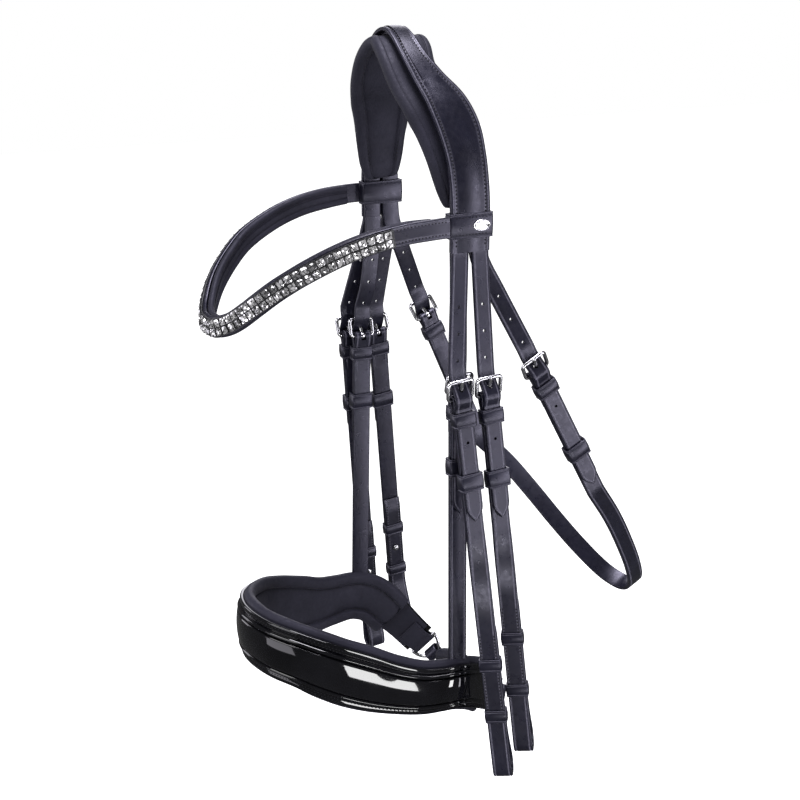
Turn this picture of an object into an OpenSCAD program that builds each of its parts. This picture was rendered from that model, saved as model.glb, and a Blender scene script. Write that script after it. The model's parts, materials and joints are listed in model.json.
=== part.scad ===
// A dressage headstall in millimetres. +X is the horse's left (near) side,
// -Y its nose and +Z up. The origin is under the padding at the top of the poll.

/* [Straps] */
// Width of the cheekpieces and of the noseband hangers
cheek_w = 14.5; // [12:0.5:18]
// Thickness of a cheekpiece
cheek_t = 3.6; // [3:0.2:4.6]
// Thickness of the billets that pass through the buckles
billet_t = 2.6; // [2:0.2:3.2]
// How much narrower a billet is than the strap it lies on
billet_inset = 1; // [0.5:0.25:2]
// Length of the front cheekpieces, from the buckle bar to the bit loop
front_len = 302; // [240:2:380]
// Length of the rear cheekpieces, from the buckle bar to the bit loop
rear_len = 283; // [230:2:360]
// How far a billet's point reaches below the buckle bar
point_len = 92; // [86:1:120]
// How far the throatlatch billets reach below theirs
throat_point = 112; // [106:1:118]
// Turn of the near bit loops about their straps, in degrees
loop_turn = 36; // [0:2:50]
// Height of the stitched return leg of a bit loop
return_len = 124; // [100:2:150]
// Clear width inside the round bottom of a bit loop
loop_gap = 9; // [7:0.5:14]
// Width of the throatlatch strap
throat_w = 15; // [12:0.5:18]

/* [Buckles] */
// Diameter of the buckle wire
wire_d = 3; // [2.4:0.1:3.6]
// Height of a buckle, from its bar to its top
buckle_h = 13.5; // [12:0.5:18]
// Diameter of a buckle tongue
tongue_d = 2.2; // [1.8:0.1:2.6]
// Diameter of the punched holes
hole_d = 4; // [3.4:0.1:4.6]
// Distance between the punched holes
hole_pitch = 19; // [15:0.5:24]

/* [Keepers] */
// Wall of the leather keepers
keeper_wall = 1.4; // [1:0.1:2]
// Height of the keepers stitched under the buckles
fixed_keeper_h = 11; // [8:0.5:12]
// Height of the sliding keepers
runner_h = 13; // [9:0.5:16]
// Height of the keepers of a bit loop
loop_keeper_h = 10; // [7:0.5:14]
// Clearance of a sliding keeper all round
runner_gap = 0.25; // [0.15:0.05:0.5]

/* [Headpiece] */
// Width of the headpiece at the browband
head_w = 31; // [29.5:0.5:36]
// Thickness of the headpiece leather
head_t = 3; // [2.6:0.2:3.8]
// Thickness of the padding under the poll
crown_pad_t = 9; // [6:0.2:13]

/* [Browband] */
// Height of the browband
brow_h = 15; // [13:0.5:22]
// Thickness of the browband leather
brow_t = 3; // [2.4:0.2:4]
// Height of the loops at the browband's ends
brow_loop_h = 18; // [14:0.5:24]
// Number of stones in each row
stones = 53; // [17:2:55]
// Size of one stone
stone = 5.6; // [4:0.1:5.8]

/* [Noseband] */
// Height of the noseband at the front
nose_h = 46; // [36:1:60]
// Thickness of the noseband leather
nose_t = 3; // [2.4:0.2:4]
// Thickness of the noseband padding
nose_pad_t = 8.4; // [5:0.2:12]
// Outside diameter of the rings at its ends
ring_d = 30; // [24:1:36]
// Height of the chin pad
chin_h = 28; // [20:1:34]
// Thickness of the chin pad
chin_t = 12; // [8:1:16]

/* [Hidden] */
$fn = 32;
gap = 0.2;          // between layers that lie on each other
bent_gap = 1;       // between layers that bend together
pin_gap = 0.05;     // round a bar in its fold or ring
inset = 0.1;        // how much smaller a bent stretch is than the straight one it joins
bar_r = wire_d / 2;
tongue_r = tongue_d / 2;
fold_r = bar_r + pin_gap + 2.4;
billet_w = cheek_w - billet_inset;
lift = bar_r + billet_t / 2 + 1.1;              // top bar's place outward of the strap
rest_x = cheek_t / 2 + gap + billet_t / 2;      // billet lying on the cheekpiece
over_x = fold_r + billet_t / 2 + 0.6;           // billet passing over the fold
frame_lean = atan(lift / buckle_h);
tongue_lean = frame_lean + asin((bar_r + tongue_r + pin_gap) / norm([lift, buckle_h]));
tongue_len = buckle_h + 3.5;
fixed_top = -9.5;                               // top of the stitched keeper
cheek_runner = -62;                             // middle of a sliding keeper at rest
hang_runner = -56;
throat_runner = -78;
pair_pitch = cheek_w + 2 * wire_d + 3.5;        // between the two buckles of a side
pair_split = billet_w / 2 + 1.35;               // of their billets from the headpiece's middle
mid_y = 22.5;                                   // the headpiece's middle at the browband

// Each fastening is its buckle bar's middle and a point further down the strap.
// Its last entry points along the bar.
front_seat = [[96, 5, -237], [125, 31, -537], [0, 1, 0]];
front_seat_off = [[96, 5, -237], [125, 36, -537], [0, 1, 0]];
rear_seat = [[94, 5 + pair_pitch, -238], [126, 24 + pair_pitch, -519], [0, 1, 0]];
rear_seat_off = [[94, 5 + pair_pitch, -238], [126, 40 + pair_pitch, -519], [0, 1, 0]];
hang_seat = [[83, 10, -236], [89.6, 9, -462], [0, 1, 0]];
throat_seat = [[88, 73, -228], [82, 129, -327], [0, 1, 0]];
throat_seat_off = [[88, 72, -227], [82, 112, -322], [0, 1, 0]];
chin_seat = [[26, 71, -508], [-16, 74, -517], [0, 0, 1]];
hang_len = 220;
throat_run = 118;

// Middle of the headpiece leather over one side: x, y, z, half width.
arch = [
    [0, -1, 13.5, 9], [14, -1, 9, 9], [28, 1, -3, 10], [40, 7, -18, 12.5],
    [52, 15, -34, 16], [61, 20, -51, 17], [68, 22, -69, 16], [73, 22.5, -88, head_w / 2],
    [75, mid_y, -104, head_w / 2], [75, mid_y, -118, head_w / 2], [75, mid_y, -136, head_w / 2]
];
// Middle of the poll padding over one side: x, y, z as above, then middle y and half width.
pad_shape = [
    [0, -1, 13.5, 2.5, 21.5], [14, -1, 9, 1, 22], [28, 1, -3, -0.5, 21], [40, 7, -18, 1, 20.5],
    [52, 15, -34, 9, 23.5], [61, 20, -51, 14, 22.5], [68, 22, -69, 16.5, 20.5],
    [73, 22.5, -88, 18.5, 18], [75, 22.5, -102, 20, 16]
];
// Middle of the browband from the front to the near loop.
brow = [
    [0, -147, -188], [12, -146, -187], [26, -140, -181], [41, -129, -168], [53, -114, -154],
    [63, -97, -142], [70, -72, -130], [74, -50, -123], [76, -28, -119], [76.8, -8, -117.5],
    [76.6, 5, -117]
];
// Middle of the noseband leather, x, y, z and height; the two ends hang a little differently.
nose_near = [
    [0, -127, -436, 1], [28, -120, -438, 1], [50, -102, -443, 1], [64, -82, -451, 1.02],
    [74, -60, -459, 1], [82, -40, -465, 0.9], [90, -20, -468, 0.82], [94, -4, -468, 0.78],
    [95, 8, -468, 0.78], [92, 22, -472, 0.76], [85, 38, -481, 0.74], [70, 53, -494, 0.7]
];
nose_off = [
    [28, -120, -438, 1], [50, -102, -443, 1], [64, -82, -451, 1.02], [74, -60, -459, 1],
    [82, -40, -465, 0.9], [90, -20, -468, 0.82], [94, -4, -469, 0.78], [95, 8, -471, 0.78],
    [93, 22, -477, 0.76], [87, 40, -495, 0.74], [72, 58, -516, 0.7]
];
throat_route = [
    [69, 158, -365], [58, 178, -394], [43, 199, -426], [24, 215, -452], [5, 218, -462],
    [-12, 209, -456], [-30, 193, -436], [-45, 177, -413], [-58, 161, -389], [-70, 141, -362]
];
// Middle of the chin strap beyond its straight part, towards the off ring.
chin_route = [[-30, 74, -522], [-42, 72, -526], [-54, 70, -530]];
chin_run = 42;
chin_point = 38;        // length of the chin billet below its buckle bar
chin_w = 14;
chin_keeper_wall = 1.2;

function unit(v) = v / norm(v);
function apart(a, b) = norm([b.x - a.x, b.y - a.y, b.z - a.z]);
// A point between b and c on the curve that also passes a and d, which slopes evenly through each.
function curve_at(a, b, c, d, u) = let (
        s = apart(b, c),
        slope_b = (c - a) * s / (apart(a, b) + s),
        slope_c = (d - b) * s / (s + apart(c, d)))
    b + u * slope_b + u * u * (3 * (c - b) - 2 * slope_b - slope_c)
    + u * u * u * (2 * (b - c) + slope_b + slope_c);
// A smooth curve through the points p, with n steps between each two.
function curve(p, n) = let (m = len(p) - 1) concat(
    [for (i = [0:m - 1], k = [0:n - 1])
        curve_at(p[max(i - 1, 0)], p[i], p[i + 1], p[min(i + 2, m)], k / n)],
    [p[m]]);
function xyz(p) = [for (q = p) [q.x, q.y, q.z]];
function mirrored(p) = [for (q = p) [-q.x, for (k = [1:len(q) - 1]) q[k]]];
function reversed(p) = [for (i = [len(p) - 1:-1:0]) p[i]];
function along(p, i) = unit(p[min(i + 1, len(p) - 1)] - p[max(i - 1, 0)]);
function across(d, hint) = unit(hint - (hint * d) * d);
function value(v, i) = is_list(v) ? v[i] : v;
// The path moved outward by a distance along its face normal.
function shifted(p, hint, by) = [for (i = [0:len(p) - 1])
    let (d = along(p, i)) p[i] + by * cross(d, across(d, hint))];

// A seat's own axes: X outward, Y along the bar, Z back up the strap.
function seat_z(s) = unit(s[0] - s[1]);
function seat_side(s) = across(seat_z(s), s[2]);
function seat_x(s) = cross(seat_side(s), seat_z(s));
function at_seat(s, v) = s[0] + v.x * seat_x(s) + v.y * seat_side(s) + v.z * seat_z(s);

strap_shape = [[1, 1], [-1, 1], [-1, -1], [1, -1]];
pad_round = [
    [1, 0.35], [0.78, 0.95], [0, 1], [-0.78, 0.95], [-1, 0.35],
    [-1, -0.35], [-0.78, -0.95], [0, -1], [0.78, -0.95], [1, -0.35]
];

// A section swept along a path: half widths across, half thicknesses outward, how far out it lies
// and how many of the path's places it leaves out at each end.
module swept(path, hint, half_w, half_t, shape, out = 0, skip = 0) {
    n = len(path) - 2 * skip;
    m = len(shape);
    points = [for (i = [skip:skip + n - 1]) let (d = along(path, i), s = across(d, hint), o = cross(d, s))
        for (q = shape) path[i] + s * q[0] * value(half_w, i) + o * (out + q[1] * value(half_t, i))];
    faces = concat(
        [[for (k = [0:m - 1]) k]],
        [for (i = [0:n - 2], k = [0:m - 1]) let (j = (k + 1) % m)
            [i * m + k, (i + 1) * m + k, (i + 1) * m + j, i * m + j]],
        [[for (k = [m - 1:-1:0]) (n - 1) * m + k]]);
    polyhedron(points, faces, convexity = 6);
}

module on_seat(s) {
    x = seat_x(s);
    y = seat_side(s);
    z = seat_z(s);
    o = s[0];
    multmatrix([[x.x, y.x, z.x, o.x], [x.y, y.y, z.y, o.y], [x.z, y.z, z.z, o.z], [0, 0, 0, 1]])
        children();
}
module off_side() {
    mirror([1, 0, 0]) children();
}
module across_rod(r, w) {
    rotate([90, 0, 0]) cylinder(r = r, h = w, center = true);
}

// --- Headpiece, padding and billets -----------------------------------------

full_arch = concat(mirrored(reversed(arch)), [for (i = [1:len(arch) - 1]) arch[i]]);
arch_curve = curve(full_arch, 3);
arch_side = [0, 1, 0];

// Places on a billet, from above the buckle down to its point.
function billet_low(s, depth) = [
    for (q = [[0.4, 24], [0.4, 13], [over_x, 1.5], [over_x, -1.5], [rest_x + 0.5, -6],
        [rest_x, -9], [rest_x, -depth + 7]]) at_seat(s, [q[0], 0, q[1]])];
module billet(s, top, w, reach) {
    low = billet_low(s, reach);
    path = concat(curve(concat(top, [low[0]]), 4), [for (i = [1:len(low) - 1]) low[i]],
        [at_seat(s, [rest_x, 0, -reach])]);
    n = len(path);
    widths = [for (i = [0:n - 1]) i == n - 1 ? 1.5 : w / 2];
    difference() {
        swept(path, seat_side(s), widths, billet_t / 2, strap_shape);
        on_seat(s) {
            rotate([0, tongue_lean, 0]) cylinder(d = hole_d, h = buckle_h + 2);
            for (k = [1, 2])
                translate([0, 0, 6 - k * hole_pitch]) rotate([0, 90, 0])
                    cylinder(d = hole_d, h = 12, $fn = 16);
        }
        for (k = [1:3]) {
            u = (k * hole_pitch - 15) / norm(low[0] - top[len(top) - 1]);
            translate(low[0] + u * (top[len(top) - 1] - low[0]))
                rotate([0, 90, 0]) cylinder(d = hole_d, h = 10, center = true, $fn = 16);
        }
    }
}
front_top = [[75, mid_y - pair_split, -128], [75.2, mid_y - pair_split, -140]];
rear_top = [[75, mid_y + pair_split, -128], [75.2, mid_y + pair_split, -140]];
throat_top = [[71.8, 29.8, -104], [71.8, 30, -124], [71.8, 32, -142], [76.5, 43, -166]];
hang_top = [[71.8, 15, -136], [72.4, 15, -150], [77, 13, -190]];

module headpiece() {
    color([0.10, 0.10, 0.13]) {
        swept(xyz(arch_curve), arch_side, [for (q = arch_curve) q[3]], head_t / 2, strap_shape);
        for (side = [0, 1]) mirror([side, 0, 0]) {
            billet(side == 0 ? front_seat : front_seat_off, front_top, billet_w, point_len);
            billet(side == 0 ? rear_seat : rear_seat_off, rear_top, billet_w, point_len);
        }
    }
}

module crown_pad() {
    half = curve(pad_shape, 3);
    full = concat(mirrored(reversed(half)), [for (i = [1:len(half) - 1]) half[i]]);
    drop = head_t / 2 + billet_t + 2 * gap + crown_pad_t / 2;
    line = shifted(xyz(full), arch_side, -drop);
    path = [for (i = [0:len(full) - 1]) [line[i].x, full[i][3], line[i].z]];
    color([0.12, 0.11, 0.15])
        swept(path, arch_side, [for (q = full) q[4]], crown_pad_t / 2, pad_round);
}

module sliphead_half() {
    billet(hang_seat, hang_top, billet_w, point_len);
}
slip_room = 13.5;   // widest sliphead that the browband loops leave room for
module noseband_sliphead() {
    drop = head_t / 2 + gap + billet_t / 2;
    narrow = [for (q = arch) [q.x, 0.25 * q.y + 0.6 * 15 * q.x / 75, q.z, 6.5]];
    full = concat(mirrored(reversed(narrow)), [for (i = [1:len(narrow) - 1]) narrow[i]]);
    line = shifted(xyz(curve(full, 3)), arch_side, -drop);
    color([0.08, 0.08, 0.10]) {
        swept(line, arch_side, min(billet_w, slip_room) / 2, billet_t / 2, strap_shape);
        sliphead_half();
        off_side() sliphead_half();
    }
}

module throat_billet(s) {
    color([0.10, 0.10, 0.13]) billet(s, throat_top, throat_w - billet_inset, throat_point);
}

// --- Browband ------------------------------------------------------------------

brow_half = curve(brow, 4);
brow_full = concat(mirrored(reversed(brow_half)), [for (i = [1:len(brow_half) - 1]) brow_half[i]]);
brow_up = [0, 0, 1];
stone_pitch = stone + 0.5;
stone_rise = 0.045 * stone;   // a flat stone clears the bent strip under it
lining_t = 4.8;
channel_t = 1;

// A point and its direction at a distance along a path.
function leg(p, i) = norm(p[i + 1] - p[i]);
function walk(p, s, i = 0) = i >= len(p) - 2 || s <= leg(p, i)
    ? [p[i] + (p[i + 1] - p[i]) * s / leg(p, i), unit(p[i + 1] - p[i])]
    : walk(p, s - leg(p, i), i + 1);
function length(p, i = 0) = i >= len(p) - 1 ? 0 : leg(p, i) + length(p, i + 1);

brow_len = length(brow_full);
channel_len = stones * stone_pitch + 3;
// The part of the browband that lies under the stones.
channel_path = [for (k = [0:40]) walk(brow_full, brow_len / 2 + channel_len * (k / 40 - 0.5))[0]];

module browband() {
    color([0.09, 0.09, 0.12])
        swept(brow_full, brow_up, brow_h / 2, brow_t / 2, strap_shape);
}
module browband_lining() {
    color([0.12, 0.11, 0.15])
        swept(brow_full, brow_up, brow_h / 2 + 0.6, lining_t / 2, pad_round,
            -brow_t / 2 - bent_gap - lining_t / 2, 5);
}
module stone_channel() {
    color([0.35, 0.35, 0.37])
        swept(channel_path, brow_up, stone_pitch + 0.4, channel_t / 2, strap_shape,
            brow_t / 2 + bent_gap + channel_t / 2);
}
module stone_row(up) {
    out = brow_t / 2 + bent_gap + channel_t + stone_rise;
    color([0.75, 0.77, 0.80])
        for (k = [0:stones - 1]) {
            w = walk(brow_full, brow_len / 2 + (k - (stones - 1) / 2) * stone_pitch);
            s = across(w[1], brow_up);
            o = cross(w[1], s);
            multmatrix([
                [w[1].x, s.x, o.x, w[0].x], [w[1].y, s.y, o.y, w[0].y],
                [w[1].z, s.z, o.z, w[0].z], [0, 0, 0, 1]])
                translate([-stone / 2, up * stone_pitch / 2 - stone / 2, out]) cube([stone, stone, 1.6]);
        }
}

loop_x = [70.1, 76.9];   // inside faces of the near browband loop
loop_wall = 1.3;
loop_free = 0.4;         // beside the headpiece
module browband_loop() {
    y0 = mid_y - head_w / 2 - loop_free;
    y1 = mid_y + head_w / 2 + loop_free;
    color([0.10, 0.10, 0.13])
        translate([0, 0, -117]) difference() {
            translate([loop_x[0] - loop_wall, y0 - loop_wall, -brow_loop_h / 2])
                cube([loop_x[1] - loop_x[0] + 2 * loop_wall, y1 - y0 + 2 * loop_wall, brow_loop_h]);
            translate([loop_x[0], y0, -brow_loop_h])
                cube([loop_x[1] - loop_x[0], y1 - y0, 2 * brow_loop_h]);
        }
}
module badge_plate() {
    color([0.85, 0.85, 0.87])
        translate([loop_x[1] + loop_wall, 30, -117]) rotate([0, 90, 0])
            linear_extrude(0.8) scale([1, 1.7]) circle(d = 8);
}

// --- Cheekpieces and hangers -----------------------------------------------------

// Side outline of a cheekpiece: down the front, round the bit loop, up the return leg.
loop_r = loop_gap / 2 + cheek_t / 2;
thin = cheek_t / 2 - 0.4;      // half thickness of the return leg
stud_up = 75;                  // height of the hook stud above the loop's bottom
module strap_outline(path, half) {
    n = len(path);
    function normal_at(i) = let (d = unit(path[min(i + 1, n - 1)] - path[max(i - 1, 0)])) [-d.y, d.x];
    polygon(concat(
        [for (i = [0:n - 1]) path[i] + half * normal_at(i)],
        [for (i = [n - 1:-1:0]) path[i] - half * normal_at(i)]));
}
module fold_cut() {
    across_rod(bar_r + pin_gap, 60);
    translate([-10, -2.1, -bar_r - 1.7]) cube([30, 4.2, 20]);
}
plain_run = 100;                // straight part under the buckle, where the keeper slides
module bit_cheek(length, turn) {
    touch = -cheek_t / 2 - gap - thin;              // middle of the return leg
    turned_from = -length + return_len + 4;
    bend_z = -length + loop_r;
    inner = -2 * loop_r;
    back = [[inner, bend_z - 0.3], [inner + 0.5, bend_z + 6], [touch - 3, -length + 28],
        [touch - 0.4, -length + 38], [touch, -length + 44], [touch, -length + return_len]];
    color([0.10, 0.10, 0.13]) {
        difference() {
            union() {
                translate([-cheek_t / 2, -cheek_w / 2, -plain_run]) cube([cheek_t, cheek_w, plain_run]);
                across_rod(fold_r, cheek_w);
            }
            fold_cut();
        }
        twisted(-plain_run, turned_from, turn, 8);
        rotate([0, 0, -turn]) difference() {
            union() {
                translate([-cheek_t / 2, -cheek_w / 2, bend_z])
                    cube([cheek_t, cheek_w, turned_from - bend_z]);
                translate([-loop_r, 0, bend_z]) intersection() {
                    across_rod(loop_r + cheek_t / 2, cheek_w);
                    translate([-50, -50, -100]) cube([100, 100, 100]);
                }
                rotate([90, 0, 0]) linear_extrude(cheek_w - 1, center = true) strap_outline(back, thin);
            }
            translate([-loop_r, 0, bend_z]) across_rod(loop_gap / 2, 60);
            translate([touch, 0, -length + stud_up]) rotate([0, 90, 0])
                cylinder(d = 4, h = 2 * thin + 0.6, center = true);
        }
    }
}
// The stretch of a cheekpiece that turns about its own line. Its ends lie inside the straight parts.
module twisted(z0, z1, turn, steps) {
    rings = concat([[z0 + 2, 0]], [for (i = [0:steps]) [z0 + (z1 - z0) * i / steps, -turn * i / steps]],
        [[z1 - 2, -turn]]);
    last = len(rings) - 1;
    points = [for (ring = rings, q = strap_shape)
        let (a = ring[1], x = q[1] * (cheek_t / 2 - inset), y = q[0] * (cheek_w / 2 - inset))
            [x * cos(a) - y * sin(a), x * sin(a) + y * cos(a), ring[0]]];
    faces = concat([[0, 1, 2, 3]],
        [for (i = [0:last - 1], k = [0:3]) let (j = (k + 1) % 4)
            each [[i * 4 + k, i * 4 + 4 + j, i * 4 + j], [i * 4 + k, i * 4 + 4 + k, i * 4 + 4 + j]]],
        [[for (k = [3:-1:0]) last * 4 + k]]);
    polyhedron(points, faces, convexity = 4);
}
module hanger() {
    color([0.10, 0.10, 0.13]) on_seat(hang_seat) difference() {
        union() {
            translate([-cheek_t / 2, -cheek_w / 2, -hang_len]) cube([cheek_t, cheek_w, hang_len]);
            across_rod(fold_r, cheek_w);
        }
        fold_cut();
    }
}

// --- Buckles, tongues and keepers --------------------------------------------------

module buckle(w) {
    half = w / 2 + 0.9 + bar_r;
    h = norm([lift, buckle_h]);
    color([0.80, 0.80, 0.82]) rotate([0, frame_lean, 0]) {
        across_rod(bar_r, 2 * half);
        translate([0, 0, h]) across_rod(bar_r, 2 * half);
        for (side = [-1, 1]) translate([0, side * half, 0]) {
            cylinder(r = bar_r, h = h);
            sphere(r = bar_r);
            translate([0, 0, h]) sphere(r = bar_r);
        }
    }
}
module tongue() {
    color([0.80, 0.80, 0.82]) difference() {
        union() {
            across_rod(bar_r + 1.3, 3.4);
            rotate([0, tongue_lean, 0]) cylinder(r = tongue_r, h = tongue_len);
        }
        across_rod(bar_r + pin_gap, 10);
    }
}
// A leather loop round what lies between x0 and x1, w wide, h tall, with its top at z.
module keeper(x0, x1, w, h, z, wall) {
    color([0.09, 0.09, 0.12]) translate([0, 0, z - h]) difference() {
        translate([x0 - wall, -w / 2 - wall, 0]) cube([x1 - x0 + 2 * wall, w + 2 * wall, h]);
        translate([x0, -w / 2, -1]) cube([x1 - x0, w, h + 2]);
    }
}
module fixed_keeper(w) {
    keeper(-cheek_t / 2, rest_x + billet_t / 2 + gap, w, fixed_keeper_h, fixed_top, keeper_wall);
}
module runner(w, mid) {
    keeper(-cheek_t / 2 - runner_gap, rest_x + billet_t / 2 + runner_gap, w + 2 * runner_gap,
        runner_h, mid + runner_h / 2, keeper_wall);
}
module loop_keeper(length, up) {
    keeper(-cheek_t / 2 - 2 * thin - 2 * gap, cheek_t / 2, cheek_w, loop_keeper_h, -length + up, 1.1);
}
module hook_stud(length) {
    color([0.80, 0.80, 0.82]) translate([-cheek_t / 2, 0, -length + stud_up]) rotate([0, -90, 0]) {
        cylinder(d = 2.4, h = 2 * thin + gap + 1);
        translate([0, 0, 2 * thin + gap + 0.6]) cylinder(d = 5.6, h = 1.6);
    }
}
module frames(front, rear, throat) {
    for (s = [front, rear, hang_seat]) on_seat(s) buckle(cheek_w);
    on_seat(throat) buckle(throat_w);
}
module fixed_keepers(front, rear, throat) {
    for (s = [front, rear, hang_seat]) on_seat(s) fixed_keeper(cheek_w);
    on_seat(throat) fixed_keeper(throat_w);
}
module loop_keepers(front, rear, turn) {
    for (up = [94, 52]) {
        on_seat(front) rotate([0, 0, -turn]) loop_keeper(front_len, up + loop_keeper_h / 2);
        on_seat(rear) rotate([0, 0, -turn]) loop_keeper(rear_len, up + loop_keeper_h / 2);
    }
}
module hook_studs(front, rear, turn) {
    on_seat(front) rotate([0, 0, -turn]) hook_stud(front_len);
    on_seat(rear) rotate([0, 0, -turn]) hook_stud(rear_len);
}

// --- Throatlatch --------------------------------------------------------------------

module throat_end(s) {
    on_seat(s) difference() {
        union() {
            translate([-cheek_t / 2, -throat_w / 2, -throat_run]) cube([cheek_t, throat_w, throat_run]);
            across_rod(fold_r, throat_w);
        }
        fold_cut();
    }
}
module throatlatch() {
    near_end = at_seat(throat_seat, [0, 0, -throat_run + 2]);
    near_on = at_seat(throat_seat, [0, 0, -throat_run - 4]);
    off_end = at_seat(throat_seat_off, [0, 0, -throat_run + 2]);
    off_on = at_seat(throat_seat_off, [0, 0, -throat_run - 4]);
    bend = curve(concat([near_on], throat_route, mirrored([off_on])), 2);
    path = concat([near_end], bend, mirrored([off_end]));
    color([0.10, 0.10, 0.13]) {
        swept(path, [0, 0.87, 0.49], throat_w / 2 - inset, cheek_t / 2 - inset, strap_shape);
        throat_end(throat_seat);
        off_side() throat_end(throat_seat_off);
    }
}

// --- Noseband -----------------------------------------------------------------------

nose_pts = concat(mirrored(reversed(nose_off)), nose_near);
nose_curve = curve(nose_pts, 3);
nose_line = xyz(nose_curve);
nose_half = [for (q = nose_curve) q[3] * nose_h / 2];
panel_t = 2;

module noseband_leather() {
    color([0.03, 0.03, 0.04])
        swept(nose_line, brow_up, nose_half, nose_t / 2, strap_shape);
}
module noseband_panel() {
    skip = 6;
    last = len(nose_line) - 1;
    widths = [for (i = [0:last])
        nose_half[i] * 0.52 * sqrt(max(0.1, min(1, (min(i, last - i) - skip + 0.6) / 4)))];
    color([0.03, 0.03, 0.04])
        swept(nose_line, brow_up, widths, panel_t / 2, strap_shape,
            nose_t / 2 + bent_gap / 2 + panel_t / 2, skip);
}
module noseband_padding() {
    color([0.12, 0.11, 0.15]) difference() {
        swept(nose_line, brow_up, [for (h = nose_half) h + 3], nose_pad_t / 2, pad_round,
            -nose_t / 2 - bent_gap - nose_pad_t / 2, 3);
        for (side = [0, 1]) mirror([side, 0, 0]) on_seat(hang_seat)
            translate([-cheek_t / 2 - gap, -cheek_w / 2 - gap, -hang_len - 3])
                cube([20, cheek_w + 2 * gap, 60]);
    }
}

// Seats of the rings: bar, direction towards the chin, and up.
function end_seat(p) = let (n = len(p), a = p[n - 2], b = p[n - 1],
    d = unit([b.x - a.x, b.y - a.y, b.z - a.z]), o = [b.x, b.y, b.z] + 4.5 * d) [o, o + d, brow_up];
near_ring_seat = end_seat(nose_near);
off_ring_seat = end_seat(nose_off);
ring_r = ring_d / 2 - bar_r;      // middle of the ring's wire
tab_w = 2 * (ring_r - bar_r) - 1.5;
eye_r = 4.2;                      // bore of the strap's eye round the ring
eye_at = -ring_r + 1;

module ring() {
    color([0.80, 0.80, 0.82]) {
        across_rod(bar_r, 2 * ring_r);
        rotate([0, 90, 0]) rotate([0, 0, -90]) rotate_extrude(angle = 180) translate([ring_r, 0]) circle(r = bar_r);
        for (side = [-1, 1]) translate([0, side * ring_r, 0]) sphere(r = bar_r);
    }
}
module ring_tab() {
    color([0.08, 0.08, 0.10]) difference() {
        union() {
            across_rod(bar_r + 2, tab_w);
            translate([-nose_t / 2 - bent_gap - 2, -tab_w / 2, 0]) cube([2, tab_w, 18]);
        }
        across_rod(bar_r + pin_gap, 60);
    }
}
module eye(w) {
    translate([0, 0, eye_at]) difference() {
        across_rod(eye_r + 1.5, w);
        across_rod(eye_r, w + 1);
    }
}
function eye_mid(s) = at_seat(s, [0, 0, eye_at]);
// Where a strap coming from p meets the wall of a seat's eye.
function eye_wall(s, p) = let (v = p - eye_mid(s), y = seat_side(s))
    eye_mid(s) + (eye_r + 1.3) * unit(v - (v * y) * y);
chin_inner = [for (z = [-bar_r - 1.8, -15, -30, -chin_run]) at_seat(chin_seat, [0, 0, z])];
chin_last = chin_route[len(chin_route) - 1];
off_eye = mirrored([eye_wall(off_ring_seat, [-chin_last.x, chin_last.y, chin_last.z])])[0];

module chin_strap() {
    path = concat(chin_inner, curve(concat(chin_route, [off_eye]), 3));
    last = len(path) - 1;
    color([0.09, 0.09, 0.12]) {
        swept(path, brow_up, [for (i = [0:last]) chin_w / 2 - (i == last ? 2 : 0)], 1.5, strap_shape);
        off_side() on_seat(off_ring_seat) eye(chin_w - 2);
        on_seat(chin_seat) difference() {
            across_rod(fold_r, chin_w);
            fold_cut();
        }
    }
}
module chin_billet() {
    low = billet_low(chin_seat, chin_point);
    enter = low[1] + 9 * seat_z(chin_seat);
    path = concat([eye_wall(near_ring_seat, enter), enter],
        [for (i = [1:len(low) - 1]) low[i]], [at_seat(chin_seat, [rest_x, 0, -chin_point])]);
    n = len(path);
    color([0.09, 0.09, 0.12]) {
        difference() {
            swept(path, seat_side(chin_seat), [for (i = [0:n - 1])
                i == n - 1 ? 1.5 : chin_w / 2 - (i == 0 ? 2.5 : 0.5)], billet_t / 2, strap_shape);
            on_seat(chin_seat) rotate([0, tongue_lean, 0]) cylinder(d = hole_d, h = buckle_h + 2);
        }
        on_seat(near_ring_seat) eye(chin_w - 2);
    }
}
pad_give = 0.5;   // the pad's round end lets the strap's fold in this far
module chin_pad() {
    drop = -max(cheek_t / 2 + chin_keeper_wall + 2 * gap, fold_r - pad_give) - chin_t / 2;
    path = curve([for (z = [-2, -20, -chin_run]) at_seat(chin_seat, [drop, 0, z])], 3);
    far = shifted(concat([chin_inner[3]], chin_route), brow_up, drop);
    full = concat(path, [for (i = [1:len(far) - 2]) far[i]]);
    n = len(full) - 1;
    color([0.12, 0.11, 0.15]) swept(full, brow_up,
        [for (i = [0:n]) chin_h / 2 * (i == 0 || i == n ? 0.8 : 1)], chin_t / 2, pad_round);
}
module chin_keeper() {
    on_seat(chin_seat) keeper(-cheek_t / 2, rest_x + billet_t / 2 + gap, chin_w, 8, fixed_top,
        chin_keeper_wall);
}

headpiece();
crown_pad();
noseband_sliphead();
throat_billet(throat_seat);  // throat_billet_near
off_side() throat_billet(throat_seat_off);  // throat_billet_off
browband();
browband_lining();
browband_loop();  // browband_loop_near
off_side() browband_loop();  // browband_loop_off
stone_channel();
stone_row(1);  // stones_upper
stone_row(-1);  // stones_lower
badge_plate();
on_seat(front_seat) bit_cheek(front_len, loop_turn);  // front_cheek_near
off_side() on_seat(front_seat_off) bit_cheek(front_len, 0);  // front_cheek_off
on_seat(rear_seat) bit_cheek(rear_len, loop_turn);  // rear_cheek_near
off_side() on_seat(rear_seat_off) bit_cheek(rear_len, 0);  // rear_cheek_off
hanger();  // hanger_near
off_side() hanger();  // hanger_off
throatlatch();
frames(front_seat, rear_seat, throat_seat);  // buckle_frames_near
off_side() frames(front_seat_off, rear_seat_off, throat_seat_off);  // buckle_frames_off
on_seat(front_seat) tongue();  // tongue_front_near
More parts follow.
